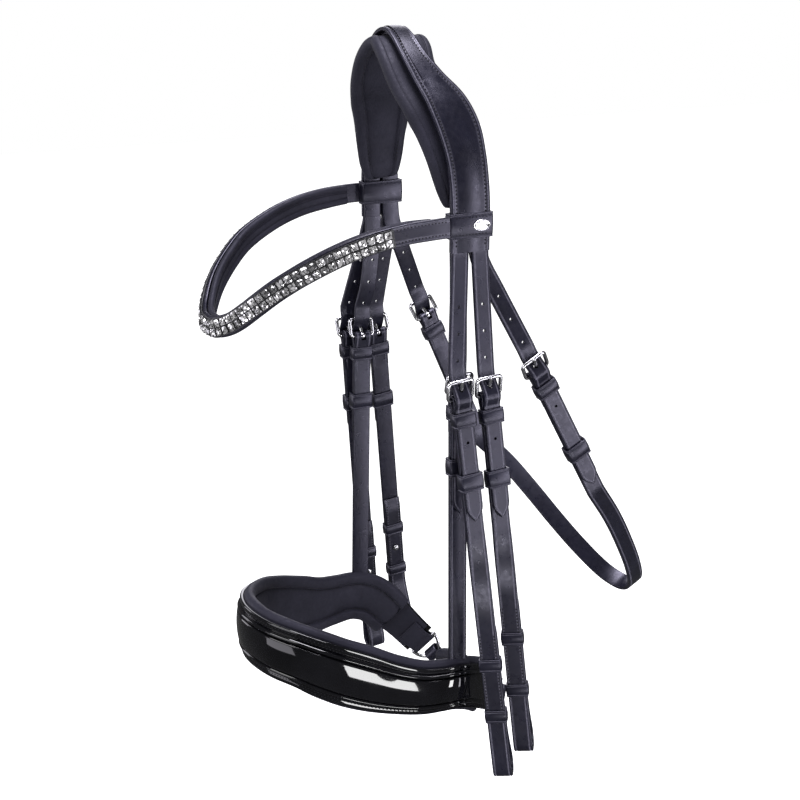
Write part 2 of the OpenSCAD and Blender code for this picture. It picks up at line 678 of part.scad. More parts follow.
off_side() on_seat(front_seat_off) tongue();  // tongue_front_off
on_seat(rear_seat) tongue();  // tongue_rear_near
off_side() on_seat(rear_seat_off) tongue();  // tongue_rear_off
on_seat(hang_seat) tongue();  // tongue_hanger_near
off_side() on_seat(hang_seat) tongue();  // tongue_hanger_off
on_seat(throat_seat) tongue();  // tongue_throat_near
off_side() on_seat(throat_seat_off) tongue();  // tongue_throat_off
fixed_keepers(front_seat, rear_seat, throat_seat);  // fixed_keepers_near
off_side() fixed_keepers(front_seat_off, rear_seat_off, throat_seat_off);  // fixed_keepers_off
on_seat(front_seat) runner(cheek_w, cheek_runner);  // runner_front_near
off_side() on_seat(front_seat_off) runner(cheek_w, cheek_runner);  // runner_front_off
on_seat(rear_seat) runner(cheek_w, cheek_runner);  // runner_rear_near
off_side() on_seat(rear_seat_off) runner(cheek_w, cheek_runner);  // runner_rear_off
on_seat(hang_seat) runner(cheek_w, hang_runner);  // runner_hanger_near
off_side() on_seat(hang_seat) runner(cheek_w, hang_runner);  // runner_hanger_off
on_seat(throat_seat) runner(throat_w, throat_runner);  // runner_throat_near
off_side() on_seat(throat_seat_off) runner(throat_w, throat_runner);  // runner_throat_off
loop_keepers(front_seat, rear_seat, loop_turn);  // loop_keepers_near
off_side() loop_keepers(front_seat_off, rear_seat_off, 0);  // loop_keepers_off
hook_studs(front_seat, rear_seat, loop_turn);  // hook_studs_near
off_side() hook_studs(front_seat_off, rear_seat_off, 0);  // hook_studs_off
noseband_leather();
noseband_panel();
noseband_padding();
on_seat(near_ring_seat) ring_tab();  // ring_tab_near
off_side() on_seat(off_ring_seat) ring_tab();  // ring_tab_off
on_seat(near_ring_seat) ring();  // ring_near
off_side() on_seat(off_ring_seat) ring();  // ring_off
chin_pad();
chin_strap();
chin_billet();
on_seat(chin_seat) buckle(chin_w);  // chin_buckle
on_seat(chin_seat) tongue();  // chin_tongue
chin_keeper();
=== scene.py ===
"""Looks of a padded dressage headstall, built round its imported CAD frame. Sizes are in millimetres."""
import json
import math
import random

import bmesh
import bpy
import numpy as np
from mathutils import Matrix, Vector

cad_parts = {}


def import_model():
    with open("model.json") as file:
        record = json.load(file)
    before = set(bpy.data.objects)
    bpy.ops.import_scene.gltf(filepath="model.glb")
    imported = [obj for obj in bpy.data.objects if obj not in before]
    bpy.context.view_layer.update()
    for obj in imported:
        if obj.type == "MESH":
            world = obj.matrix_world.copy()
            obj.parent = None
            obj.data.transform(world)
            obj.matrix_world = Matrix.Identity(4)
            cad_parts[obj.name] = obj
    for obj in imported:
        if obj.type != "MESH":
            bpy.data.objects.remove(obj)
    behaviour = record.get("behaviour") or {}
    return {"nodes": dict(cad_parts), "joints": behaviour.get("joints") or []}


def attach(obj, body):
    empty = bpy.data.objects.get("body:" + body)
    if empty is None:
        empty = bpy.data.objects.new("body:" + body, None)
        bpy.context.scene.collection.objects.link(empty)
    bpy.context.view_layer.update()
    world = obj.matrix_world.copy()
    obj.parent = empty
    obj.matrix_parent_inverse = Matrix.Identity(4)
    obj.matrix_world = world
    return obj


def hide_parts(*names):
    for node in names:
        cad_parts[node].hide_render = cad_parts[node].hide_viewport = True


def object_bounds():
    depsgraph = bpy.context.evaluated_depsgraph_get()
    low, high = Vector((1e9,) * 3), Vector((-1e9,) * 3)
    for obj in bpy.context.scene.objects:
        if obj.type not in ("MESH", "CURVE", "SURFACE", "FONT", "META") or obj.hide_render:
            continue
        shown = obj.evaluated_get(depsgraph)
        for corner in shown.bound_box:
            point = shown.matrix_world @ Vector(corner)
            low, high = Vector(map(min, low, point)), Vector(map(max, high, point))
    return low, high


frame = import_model()
cad_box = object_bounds()
random.seed(7)
MM = 0.001

# --- Camera ----------------------------------------------------------------

CAMERA_AT = (990.7, -476.6, 94.3)
AZIMUTH, ELEVATION = math.radians(64.12), math.radians(18.12)
FOCAL_LENGTH, SENSOR_WIDTH = 67.5, 36


def add_camera():
    data = bpy.data.cameras.new("camera")
    data.lens, data.sensor_width = FOCAL_LENGTH, SENSOR_WIDTH
    camera = bpy.data.objects.new("camera", data)
    camera.location = Vector(CAMERA_AT) * MM
    back = Vector((
        math.sin(AZIMUTH) * math.cos(ELEVATION),
        -math.cos(AZIMUTH) * math.cos(ELEVATION),
        math.sin(ELEVATION)))
    camera.rotation_euler = (-back).to_track_quat("-Z", "Y").to_euler()
    bpy.context.scene.collection.objects.link(camera)
    bpy.context.scene.camera = camera
    bpy.context.scene.view_settings.view_transform = "Standard"


add_camera()

# --- Sizes, as in the CAD --------------------------------------------------

# Straps: widths and thicknesses, then lengths down from the buckle bar.
CHEEK_W, CHEEK_T, BILLET_W, BILLET_T, THROAT_W = 14.5, 3.6, 13.5, 2.6, 15
FRONT_LEN, REAR_LEN, HANG_LEN, THROAT_RUN = 302, 283, 220, 118
POINT_LEN, THROAT_POINT = 92, 112
# Bit loops: turn of the near ones, length of the return leg, room for the bit, height of the stud.
LOOP_TURN, RETURN_LEN, LOOP_GAP, STUD_UP = math.radians(36), 124, 9, 75
LOOP_R = LOOP_GAP / 2 + CHEEK_T / 2
THIN = CHEEK_T / 2 - 0.4    # half thickness of the return leg
# Buckles: wire, frame height, tongue, and the punched holes with their pitch.
WIRE_R, BUCKLE_H, TONGUE_R, HOLE_R, SPARE_HOLE_R, PITCH = 1.5, 13.5, 1.1, 2.0, 1.15, 19
KEEPER_WALL, FIXED_H, RUNNER_H, LOOP_KEEPER_H = 1.4, 11, 13, 10
# Top of the stitched keepers and middles of the sliding ones, along the strap from the bar.
FIXED_TOP, CHEEK_RUNNER, HANG_RUNNER, THROAT_RUNNER = -9.5, -62, -56, -78
# Clearances: between flat layers, and between layers that bend together.
GAP, BENT_GAP = 0.2, 1.0
HEAD_T, CROWN_PAD_T, HEAD_W, MID_Y = 3, 9, 31, 22.5
SPLIT = BILLET_W / 2 + 1.35    # from the headpiece's middle to the middle of each of its two billets
BROW_H, BROW_T, BROW_LOOP_H, BROW_LOOP_Z, LINING_T = 15, 3, 18, -117, 4.8
BROW_LOOP_X, BROW_LOOP_WALL = (70.1, 76.9), 1.3
STONES, STONE, STONE_PITCH, CHANNEL_T = 53, 5.6, 6.1, 1.0
NOSE_H, NOSE_T, NOSE_PAD_T, RING_R = 46, 3, 8.4, 13.5
PANEL_SHARE = 0.56    # height of the noseband's raised panel against the whole
CHIN_W, CHIN_H, CHIN_T, CHIN_RUN, CHIN_POINT, CHIN_WALL = 14, 28, 12, 42, 38, 1.2
# A strap folded round the bar, and the billet that lies over it and then rests on the strap.
FOLD_R = WIRE_R + 0.05 + 2.4
REST_X = CHEEK_T / 2 + GAP + BILLET_T / 2
OVER_X = FOLD_R + BILLET_T / 2 + 0.6
# The frame leans out until it clears the billet, and the tongue lies on top of it.
LIFT = WIRE_R + BILLET_T / 2 + 1.1
LEAN = math.atan(LIFT / BUCKLE_H)
FRAME_UP = math.hypot(LIFT, BUCKLE_H)
TONGUE_LEAN = LEAN + math.asin((WIRE_R + TONGUE_R + 0.05) / FRAME_UP)
SIDES = (("near", 1), ("off", -1))    # each side's name and the sign of its x

# Middle of the headpiece leather over one side: x, y, z, half width.
ARCH = [
    (0, -1, 13.5, 9), (14, -1, 9, 9), (28, 1, -3, 10), (40, 7, -18, 12.5), (52, 15, -34, 16),
    (61, 20, -51, 17), (68, 22, -69, 16), (73, 22.5, -88, 15.5), (75, 22.5, -104, 15.5),
    (75, 22.5, -118, 15.5), (75, 22.5, -136, 15.5)]
# Middle of the poll padding: x, y, z as above, then middle y and half width.
PAD = [
    (0, -1, 13.5, 2.5, 21.5), (14, -1, 9, 1, 22), (28, 1, -3, -0.5, 21), (40, 7, -18, 1, 20.5),
    (52, 15, -34, 9, 23.5), (61, 20, -51, 14, 22.5), (68, 22, -69, 16.5, 20.5),
    (73, 22.5, -88, 18.5, 18), (75, 22.5, -104, 20, 16)]
# Middle of the browband from the front to the near loop.
BROW = [
    (0, -147, -188), (12, -146, -187), (26, -140, -181), (41, -129, -168), (53, -114, -154),
    (63, -97, -142), (70, -72, -130), (74, -50, -123), (76, -28, -119), (76.8, -8, -117.5),
    (76.6, 5, -117)]
# Middle of the noseband leather, x, y, z and height; its two ends hang a little differently.
NOSE_NEAR = [
    (0, -127, -436, 1), (28, -120, -438, 1), (50, -102, -443, 1), (64, -82, -451, 1.02),
    (74, -60, -459, 1), (82, -40, -465, 0.9), (90, -20, -468, 0.82), (94, -4, -468, 0.78),
    (95, 8, -468, 0.78), (92, 22, -472, 0.76), (85, 38, -481, 0.74), (70, 53, -494, 0.7)]
NOSE_OFF = [
    (28, -120, -438, 1), (50, -102, -443, 1), (64, -82, -451, 1.02), (74, -60, -459, 1),
    (82, -40, -465, 0.9), (90, -20, -468, 0.82), (94, -4, -469, 0.78), (95, 8, -471, 0.78),
    (93, 22, -477, 0.76), (87, 40, -495, 0.74), (72, 58, -516, 0.7)]
THROAT = [
    (69, 158, -365), (58, 178, -394), (43, 199, -426), (24, 215, -452), (5, 218, -462),
    (-12, 209, -456), (-30, 193, -436), (-45, 177, -413), (-58, 161, -389), (-70, 141, -362)]
CHIN_DOWN = (-42, 3, -9)
CHIN_ROUTE = [(-30, 74, -522), (-42, 72, -526), (-54, 70, -530)]

# --- Lines and frames ------------------------------------------------------


def unit(v):
    return np.asarray(v, float) / np.linalg.norm(v)


def curve(points, steps):
    """A smooth curve through the points that slopes evenly through each, with steps between each two."""
    p = np.array(points, float)
    last = len(p) - 1
    made = []
    for i in range(last):
        a, b, c, d = p[max(i - 1, 0)], p[i], p[i + 1], p[min(i + 2, last)]
        before, span, after = (np.linalg.norm((q - r)[:3]) for q, r in ((b, a), (c, b), (d, c)))
        slope_b = (c - a) * span / (before + span)
        slope_c = (d - b) * span / (span + after)
        for u in np.arange(steps) / steps:
            made.append(b + u * slope_b + u * u * (3 * (c - b) - 2 * slope_b - slope_c)
                        + u ** 3 * (2 * (b - c) + slope_b + slope_c))
    return np.array(made + [p[last]])


def turns(n):
    """n angles evenly round a circle."""
    return np.arange(n) * math.tau / n


def mirrored(points):
    return [(-p[0], *p[1:]) for p in points]


class Line:
    """A path with a side and an outward direction at each of its points."""

    def __init__(self, points, hints):
        self.p = np.array(points, float)[:, :3]
        hints = np.array(hints, float)
        if hints.ndim == 1:
            hints = np.repeat(hints[None], len(self.p), 0)
        ends = np.concatenate([self.p[:1], self.p, self.p[-1:]])
        self.d = np.array([unit(v) for v in ends[2:] - ends[:-2]])
        self.side = np.array([unit(h - (h @ d) * d) for h, d in zip(hints, self.d)])
        self.out = np.cross(self.d, self.side)
        self.s = np.concatenate([[0], np.cumsum(np.linalg.norm(np.diff(self.p, axis=0), axis=1))])
        self.length = self.s[-1]

    def at(self, s):
        """Point, direction, side and outward direction at a distance along the line."""
        return [np.array([np.interp(s, self.s, a[:, k]) for k in range(3)])
                for a in (self.p, self.d, self.side, self.out)]

    def value(self, values, s):
        return np.interp(s, self.s, values)


class Seat:
    """A fastening's own axes: x outward, y along the bar, z back up the strap."""

    def __init__(self, origin, y, z):
        self.o = np.array(origin, float)
        self.z = unit(z)
        self.y = unit(np.asarray(y, float) - (np.asarray(y, float) @ self.z) * self.z)
        self.x = np.cross(self.y, self.z)

    def at(self, x, y, z):
        return self.o + x * self.x + y * self.y + z * self.z

    def turned(self, angle):
        """The same seat with x and y turned about z."""
        made = Seat(self.o, self.y, self.z)
        made.x = math.cos(angle) * self.x - math.sin(angle) * self.y
        made.y = math.sin(angle) * self.x + math.cos(angle) * self.y
        return made


joints = {j["name"]: j for j in frame["joints"]}


def strap_seat(kind, side):
    """The seat of a strap's buckle, from the joints of its tongue and its sliding keeper."""
    tongue = joints[f"tongue_{kind}_{side}_turn"]
    up = np.array(joints[f"runner_{kind}_{side}_slide"]["axis"])
    bar = np.array(tongue["axis"])
    made = Seat(np.array(tongue["pos_m"]) / MM, bar, up)
    if side == "off":
        made.y = -made.y
    return made


def ring_seat(side):
    swing = joints[f"ring_{side}_swing"]
    a, b = (NOSE_NEAR if side == "near" else mirrored(NOSE_OFF))[-2:]
    made = Seat(np.array(swing["pos_m"]) / MM, swing["axis"], np.array(a[:3]) - np.array(b[:3]))
    if side == "off":
        made.y = -made.y
    return made


KINDS = ("front", "rear", "hanger", "throat")
seats = {(k, s): strap_seat(k, s) for k in KINDS for s, _ in SIDES}
chin_joint = joints["chin_tongue_turn"]
chin_seat = Seat(np.array(chin_joint["pos_m"]) / MM, chin_joint["axis"], -np.array(CHIN_DOWN, float))

# --- Cross-sections: points across (u) and outward (v), anticlockwise ------


def arc(cx, cy, r, start, stop, steps=4):
    angles = [math.radians(start + (stop - start) * k / steps) for k in range(steps + 1)]
    return [(cx + r * math.cos(a), cy + r * math.sin(a)) for a in angles]


def flipped(section):
    """The section turned over, so that its outer face comes inward."""
    return [(q[0], -q[1], *q[2:]) for q in reversed(section)]


def strap_section(hw, ht, crease=1.9, depth=0.3, edge=0.85, dome=0.0, sewn=0.0):
    """A strap: rounded edges, a crease near each edge of its face with a painted highlight (a pale colour)
    along it, and a sewn channel with a fainter painted highlight.
    """
    r = min(edge, 0.9 * ht, 0.45 * hw)
    c = hw - min(crease, 0.6 * hw)
    # Points marked 1 take the pale colour of the leather: a painted highlight along the crease.
    right = [(c + 0.55, ht - 0.05), (c + 0.25, ht - depth, 1), (c - 0.25, ht - depth, 1), (c - 0.5, ht, 1),
             (c - 0.8, ht)]
    # The sewn channel's third values take part of the pale colour: a painted highlight beside the stitches.
    if sewn:
        right += [(hw - sewn + t, ht - d, painted_channel_highlight) for t, d, painted_channel_highlight in
                  ((0.9, 0, 0), (0.55, 0.12, 0.45), (-0.55, 0.12, 0.45), (-0.9, 0, 0.2), (-1.8, 0, 0))]
    right += [(0.5 * hw, ht + 0.8 * dome)] if dome else []
    left = [(-q[0], *q[1:]) for q in reversed(right)]
    return (arc(hw - r, ht - r, r, 0, 90) + right + [(0, ht + dome)] + left
            + arc(r - hw, ht - r, r, 90, 180) + arc(r - hw, r - ht, r, 180, 270)
            + arc(hw - r, r - ht, r, 270, 360))


def pad_section(hw, ht, rim=9, sink=1.5, seam=1.2):
    """A stuffed pad: round edges, and a rim on the inner face round a lower middle."""
    r = ht
    groove = hw - r - 1.5
    top = [(groove + 0.7, ht), (groove + 0.15, ht - 0.8), (groove - 0.15, ht - 0.8), (groove - 0.9, ht)]
    under = [(hw - rim + 2, -ht + 0.1), (hw - rim + 0.5, -ht + 0.6), (hw - rim, -ht + sink + seam),
             (hw - rim - 0.8, -ht + sink + 0.5), (hw - rim - 3, -ht + sink), (0.3 * hw, -ht + 0.7 * sink)]
    return (arc(hw - r, 0, r, 0, 90, 6) + top + [(0, ht)] + [(-u, v) for u, v in reversed(top)]
            + arc(r - hw, 0, r, 90, 270, 12) + [(-u, v) for u, v in under] + [(0, -ht + 0.6 * sink)]
            + list(reversed(under)) + arc(hw - r, 0, r, 270, 360, 6))


def round_section(a, b, steps=12):
    return [(a * math.cos(t), b * math.sin(t)) for t in turns(steps)]


# --- Meshes ----------------------------------------------------------------


class Soup:
    """Vertices and faces gathered into one piece, in millimetres, with a value for each vertex: the painted
    highlight on leather creases, or a stone's own tone with painted reflections.
    """

    def __init__(self):
        self.verts, self.faces, self.tones_and_painted_light = [], [], []

    def add(self, verts, faces, tone_and_painted_light=0):
        start = len(self.verts)
        self.verts += [tuple(v) for v in verts]
        self.faces += [[start + i for i in f] for f in faces]
        self.tones_and_painted_light += tone_and_painted_light if isinstance(tone_and_painted_light, list) else [tone_and_painted_light] * len(verts)

    def rings(self, rings, caps=True, closed=False, tone_and_painted_light=0):
        """Joins rings of equally many points into a skin."""
        n, m = len(rings), len(rings[0])
        verts = [p for ring in rings for p in ring]
        faces = []
        for i in range(n if closed else n - 1):
            j = (i + 1) % n
            faces += [[i * m + k, i * m + (k + 1) % m, j * m + (k + 1) % m, j * m + k] for k in range(m)]
        if caps and not closed:
            faces += [list(range(m))[::-1], [(n - 1) * m + k for k in range(m)]]
        self.add(verts, faces, tone_and_painted_light)

    def sweep(self, line, section, out=0, skip=0, bump=None):
        """Sweeps section(i) along the line, moved outward by out; bump changes its thickness."""
        rings, tones_and_painted_light = [], []
        for i in range(skip, len(line.p) - skip):
            ring = []
            for u, v, *tone_and_painted_light in section(i):
                lift = out + v + (bump(line.s[i], u, v) if bump else 0)
                ring.append(line.p[i] + line.side[i] * u + line.out[i] * lift)
                tones_and_painted_light.append(tone_and_painted_light[0] if tone_and_painted_light else 0)
            rings.append(ring)
        self.rings(rings, tone_and_painted_light=tones_and_painted_light)

    def stitch(self, at, along, side, out, length=1.7, r=0.4):
        """One stitch: a short thread that dips into the leather at both ends."""
        verts = [at - along * length / 2 - out * r]
        for t in (-0.28, 0.28):
            for u, v in ((r, 0), (0, r), (-r, 0), (0, -r)):
                verts.append(at + along * length * t + side * u + out * 0.6 * v)
        verts.append(at + along * length / 2 - out * r)
        faces = [[0, 1 + (k + 1) % 4, 1 + k] for k in range(4)]
        faces += [[1 + k, 1 + (k + 1) % 4, 5 + (k + 1) % 4, 5 + k] for k in range(4)]
        faces += [[9, 5 + k, 5 + (k + 1) % 4] for k in range(4)]
        self.add(verts, faces)

    def stitches(self, line, u, v, start=2.0, stop=None, pitch=2.6):
        """A row of stitches; u and v are numbers or functions of the distance along the line."""
        stop = line.length - 2 if stop is None else stop
        for s in np.arange(start, stop, pitch):
            p, d, side, out = line.at(s)
            uu, vv = (f(s) if callable(f) else f for f in (u, v))
            self.stitch(p + side * uu + out * vv, d, side, out)


def make(name, soup, finish, replaces=(), body="root", angle=35, cut=None, smooth=False):
    """Makes a piece of a soup, in metres, hangs it on the body that it rides on and hides the CAD parts that
    it stands for.
    """
    material, slot = finish
    mesh = bpy.data.meshes.new(name)
    mesh.from_pydata([Vector(v) * MM for v in soup.verts], [], soup.faces)
    mesh.validate()
    # Per-vertex painted highlights and reflections, and the stones' own tone, for the materials to read.
    tone_and_painted_light = mesh.attributes.new("tone_and_painted_light", "FLOAT", "POINT")
    tone_and_painted_light.data.foreach_set("value", soup.tones_and_painted_light[:len(mesh.vertices)])
    piece = bpy.data.objects.new(name, mesh)
    bpy.context.scene.collection.objects.link(piece)
    if cut is not None:
        subtract(piece, cut)
    if smooth:
        m = piece.modifiers.new("smooth", "SUBSURF")
        m.levels = m.render_levels = 1
        apply_modifiers(piece)
    piece.data.shade_smooth()
    piece.data.set_sharp_from_angle(angle=math.radians(angle))
    piece.data.materials.clear()
    piece.data.materials.append(material)
    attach(piece, body)
    if replaces:
        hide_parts(*replaces)
    return piece


def apply_modifiers(piece):
    bpy.context.view_layer.update()
    graph = bpy.context.evaluated_depsgraph_get()
    mesh = bpy.data.meshes.new_from_object(piece.evaluated_get(graph))
    piece.modifiers.clear()
    piece.data = mesh


def subtract(piece, soup):
    """Cuts the soup's closed shapes out of the piece."""
    mesh = bpy.data.meshes.new("cutter")
    mesh.from_pydata([Vector(v) * MM for v in soup.verts], [], soup.faces)
    shapes = bmesh.new()
    shapes.from_mesh(mesh)
    bmesh.ops.recalc_face_normals(shapes, faces=shapes.faces)
    shapes.to_mesh(mesh)
    shapes.free()
    cutter = bpy.data.objects.new("cutter", mesh)
    bpy.context.scene.collection.objects.link(cutter)
    m = piece.modifiers.new("cut", "BOOLEAN")
    m.operation, m.solver, m.object = "DIFFERENCE", "MANIFOLD", cutter
    apply_modifiers(piece)
    bpy.data.objects.remove(cutter)


def rod(soup, a, b, r):
    """A closed cylinder between two points."""
    soup.sweep(Line([a, b], (0.3, 0.5, 0.8)), lambda i: round_section(r, r, 20))


def block(soup, seat, low, high):
    """A closed box in a seat's own axes."""
    corners = [[seat.at(x, y, z) for x, y in
                ((low[0], low[1]), (high[0], low[1]), (high[0], high[1]), (low[0], high[1]))]
               for z in (low[2], high[2])]
    soup.rings(corners)


# --- Materials -------------------------------------------------------------


class Shader:
    """A Principled material whose nodes are added one call at a time."""

    def __init__(self, name, **values):
        self.material = bpy.data.materials.new(name)
        self.material.use_nodes = True
        self.tree = self.material.node_tree
        self.surface = self.tree.nodes["Principled BSDF"]
        for key, value in values.items():
            self.surface.inputs[key.replace("_", " ")].default_value = value
        self.place = self.node("TexCoord").outputs["Object"]

    def put(self, socket, value):
        """Links a socket to another node's output, or sets it to a value."""
        if isinstance(value, bpy.types.NodeSocket):
            self.tree.links.new(value, socket)
        else:
            socket.default_value = value

    def node(self, kind, **inputs):
        made = self.tree.nodes.new("ShaderNode" + kind)
        for key, value in inputs.items():
            self.put(made.inputs[key.replace("_", " ")], value)
        return made

    def noise(self, scale, detail=3.0, stretch=None):
        place = self.place
        if stretch:
            place = self.node("Mapping", Scale=stretch, Vector=place).outputs["Vector"]
        made = self.node("TexNoise", Scale=scale, Detail=detail, Roughness=0.55, Vector=place)
        return made.outputs["Fac"]

    def cells(self, scale):
        return self.node("TexVoronoi", Scale=scale, Vector=self.place).outputs["Distance"]

    def tone_and_painted_light(self):
        """The value that the mesh carries at each point: a painted highlight, or a stone's own tone with
        painted reflections.
        """
        node = self.node("Attribute")
        node.attribute_name = "tone_and_painted_light"
        return node.outputs["Fac"]

    def mix(self, factor, a, b):
        """A colour from a to b as the factor runs from 0 to 1."""
        node = self.node("Mix")
        node.data_type = "RGBA"
        self.put(node.inputs["Factor"], factor)
        self.put(node.inputs[6], a)
        self.put(node.inputs[7], b)
        return node.outputs[2]

    def ramp(self, source, low, high, start=0.3, stop=0.7):
        """Runs a value into a colour or a number between low and high."""
        if isinstance(low, tuple):
            return self.mix(self.ramp(source, 0.0, 1.0, start, stop), (*low, 1), (*high, 1))
        made = self.node("MapRange", From_Min=start, From_Max=stop, To_Min=low, To_Max=high, Value=source)
        return made.outputs["Result"]

    def surfaced(self, colour, roughness, *bumps):
        """Gives the surface its colour, roughness and bumps: height, strength, depth in millimetres."""
        self.put(self.surface.inputs["Base Color"], colour)
        self.put(self.surface.inputs["Roughness"], roughness)
        normal = None
        for height, strength, depth in bumps:
            node = self.node("Bump", Strength=strength, Distance=depth * MM, Height=height)
            if normal:
                self.put(node.inputs["Normal"], normal)
            normal = node.outputs["Normal"]
        self.put(self.surface.inputs["Normal"], normal)
        return self.material


LILAC_GLOSS = (0.84, 0.82, 1.0, 1)


def bridle_leather():
    made = Shader("bridle_leather", Specular_IOR_Level=0.5, Specular_Tint=LILAC_GLOSS)
    grain = made.ramp(made.noise(38), (0.003, 0.003, 0.0065), (0.006, 0.006, 0.0125))
    # Where the mesh marks a crease or sewn channel, the colour turns pale: a painted highlight, not the
    # leather's own colour.
    crease = made.ramp(made.noise(500), (0.035, 0.034, 0.047), (0.075, 0.072, 0.095))
    return made.surfaced(
        made.mix(made.tone_and_painted_light(), grain, crease), made.ramp(made.noise(260, 4), 0.26, 0.38),
        (made.noise(55, 2), 0.35, 0.5), (made.cells(1500), 0.22, 0.12), (made.noise(3200, 2), 0.25, 0.06))


def patent_leather():
    made = Shader("patent_leather", Specular_IOR_Level=0.3, Coat_Weight=0.6, Coat_Roughness=0.02)
    return made.surfaced(
        made.ramp(made.noise(30), (0.001, 0.001, 0.0015), (0.003, 0.003, 0.004)),
        made.ramp(made.noise(60, 1), 0.04, 0.09), (made.noise(26, 1), 0.15, 0.5))


def soft_leather():
    made = Shader("soft_leather", Specular_IOR_Level=0.3, Specular_Tint=LILAC_GLOSS, Sheen_Weight=0.03,
                  Sheen_Roughness=0.5)
    return made.surfaced(
        made.ramp(made.noise(30), (0.004, 0.004, 0.0085), (0.009, 0.0088, 0.016)),
        made.ramp(made.noise(300, 3), 0.52, 0.70),
        (made.noise(120, 3), 0.3, 0.5), (made.cells(1100), 0.35, 0.2), (made.noise(2600, 2), 0.3, 0.08))


def steel():
    made = Shader("stainless_steel", Metallic=1.0)
    return made.surfaced(
        made.ramp(made.noise(120), (0.62, 0.62, 0.65), (0.80, 0.80, 0.82)),
        made.ramp(made.noise(300, 3), 0.16, 0.26), (made.noise(60, 1, stretch=(1, 1, 0.3)), 0.02, 0.1))


def thread():
    made = Shader("black_thread", Specular_IOR_Level=0.2)
    return made.surfaced(
        made.ramp(made.noise(900), (0.002, 0.002, 0.003), (0.008, 0.008, 0.011)),
        made.ramp(made.noise(2000), 0.6, 0.8), (made.noise(4000, 2), 0.5, 0.1))


def crystal():
    made = Shader("foiled_crystal", Specular_IOR_Level=0.9, IOR=1.9, Metallic=0.75, Coat_Weight=1.0,
                  Coat_Roughness=0.01)
    return made.surfaced(
        # Dark to clear: the stones' own tone, with a painted reflection on each facet.
        made.ramp(made.tone_and_painted_light(), (0.05, 0.05, 0.055), (0.90, 0.89, 0.90), 0, 1),
        made.ramp(made.noise(800), 0.03, 0.10), (made.noise(1500, 1), 0.1, 0.05))


def setting():
    made = Shader("stone_setting", Metallic=0.3)
    return made.surfaced(
        made.ramp(made.noise(600), (0.01, 0.01, 0.011), (0.05, 0.05, 0.055)),
        made.ramp(made.noise(900), 0.3, 0.5), (made.cells(900), 0.5, 0.2))


# Each finish is a material and a slot name, which make() does not use.
LEATHER, SOFT = (bridle_leather(), "bridle_leather"), (soft_leather(), "soft_padding")
PATENT, STEEL = (patent_leather(), "patent_leather"), (steel(), "steel")
CRYSTAL, SETTING, BADGE = (crystal(), "crystal"), (setting(), "stone_setting"), (STEEL[0], "badge")
THREAD = thread()
LEATHER_THREAD, SOFT_THREAD, PATENT_THREAD = ((THREAD, slot) for _, slot in (LEATHER, SOFT, PATENT))

# --- Straps ----------------------------------------------------------------


def pointed(line, full, tip, end=0.8):
    """Half widths of a strap with a pointed end, at each point of its line."""
    left = (line.length - line.s) / tip
    return [full if t >= 1 else max(end, full * (1 - (1 - max(t, 0)) ** 2.2)) for t in left]


def dense(points, gap):
    """The same straight legs with points at most gap apart, so that a section can change along them."""
    p = np.array(points, float)
    made = [p[0]]
    for a, b in zip(p, p[1:]):
        n = max(1, int(np.ceil(np.linalg.norm(b - a) / gap)))
        made += [a + (b - a) * k / n for k in range(1, n + 1)]
    return np.array(made)


def billet_line(seat, top, reach):
    """A billet's line from the headpiece, over the folded strap and down through the keepers."""
    low = [seat.at(x, 0, z) for x, z in
           ((0.4, 24), (0.4, 13), (OVER_X, 1.5), (OVER_X, -1.5), (REST_X + 0.5, -6), (REST_X, -9),
            (REST_X, -reach + 16))]
    upper = curve(list(top) + [low[0]], 8)
    tip = [seat.at(REST_X, 0, -reach + t) for t in (12, 10, 8, 6, 4.5, 3, 2, 1.2, 0.5, 0)]
    middle = curve(low[:6], 4)
    straight = dense([low[5], low[6], tip[0]], 3)
    return Line(np.concatenate([upper, middle[1:], straight[1:], tip[1:]]), seat.y)


def billet(name, seat, top, width, reach, replaces=()):
    """A billet with its creases and its punched holes."""
    line = billet_line(seat, top, reach)
    hw = pointed(line, width / 2, 12)
    soup, holes = Soup(), Soup()
    face = flipped if np.dot(line.out[len(line.out) // 2], seat.x) < 0 else list
    soup.sweep(line, lambda i: face(strap_section(hw[i], BILLET_T / 2)))
    tongue_hole(holes, seat)
    for k in (1, 2):
        z = 6 - k * PITCH
        rod(holes, seat.at(0.3, 0, z), seat.at(9, 0, z), SPARE_HOLE_R)
    start = seat.at(0.4, 0, 24)
    above = unit(np.array(top[-1]) - start)
    for k in (1, 2, 3):
        at = start + (k * PITCH - 15) * above
        rod(holes, at - 6 * seat.x, at + 6 * seat.x, SPARE_HOLE_R)
    return make(name, soup, LEATHER, replaces, cut=holes)


def tongue_hole(holes, seat):
    """The hole that the tongue's pin goes through, along the pin."""
    pin = math.cos(TONGUE_LEAN) * seat.z + math.sin(TONGUE_LEAN) * seat.x
    rod(holes, seat.o + 3 * pin, seat.o + 14 * pin, HOLE_R)


def fold_points():
    """A strap end's way round the buckle bar, from its skived end behind to its face in front (x, z)."""
    mid = (WIRE_R + 0.1 + FOLD_R) / 2
    back = [(-1.15, -30), (-1.15, -16), (-1.25, -9), (-2.0, -5)]
    turn = [(mid * math.cos(a), mid * math.sin(a)) for a in np.radians(np.arange(200, -21, -22))]
    return back + turn + [(2.0, -4.6), (1.0, -8), (0.5, -12)]


def fold_thickness(i, count, full):
    """Half thickness along a folded end: thin behind, full in front."""
    return 0.35 if i == 0 else 0.62 if i < 3 else 1.0 if i < count - 3 else full


def fold_slot(soup, seat):
    """The slot in a fold that lets the tongue turn round the bar."""
    block(soup, seat, (-10, -2.1, -WIRE_R - 1.7), (12, 2.1, 18))


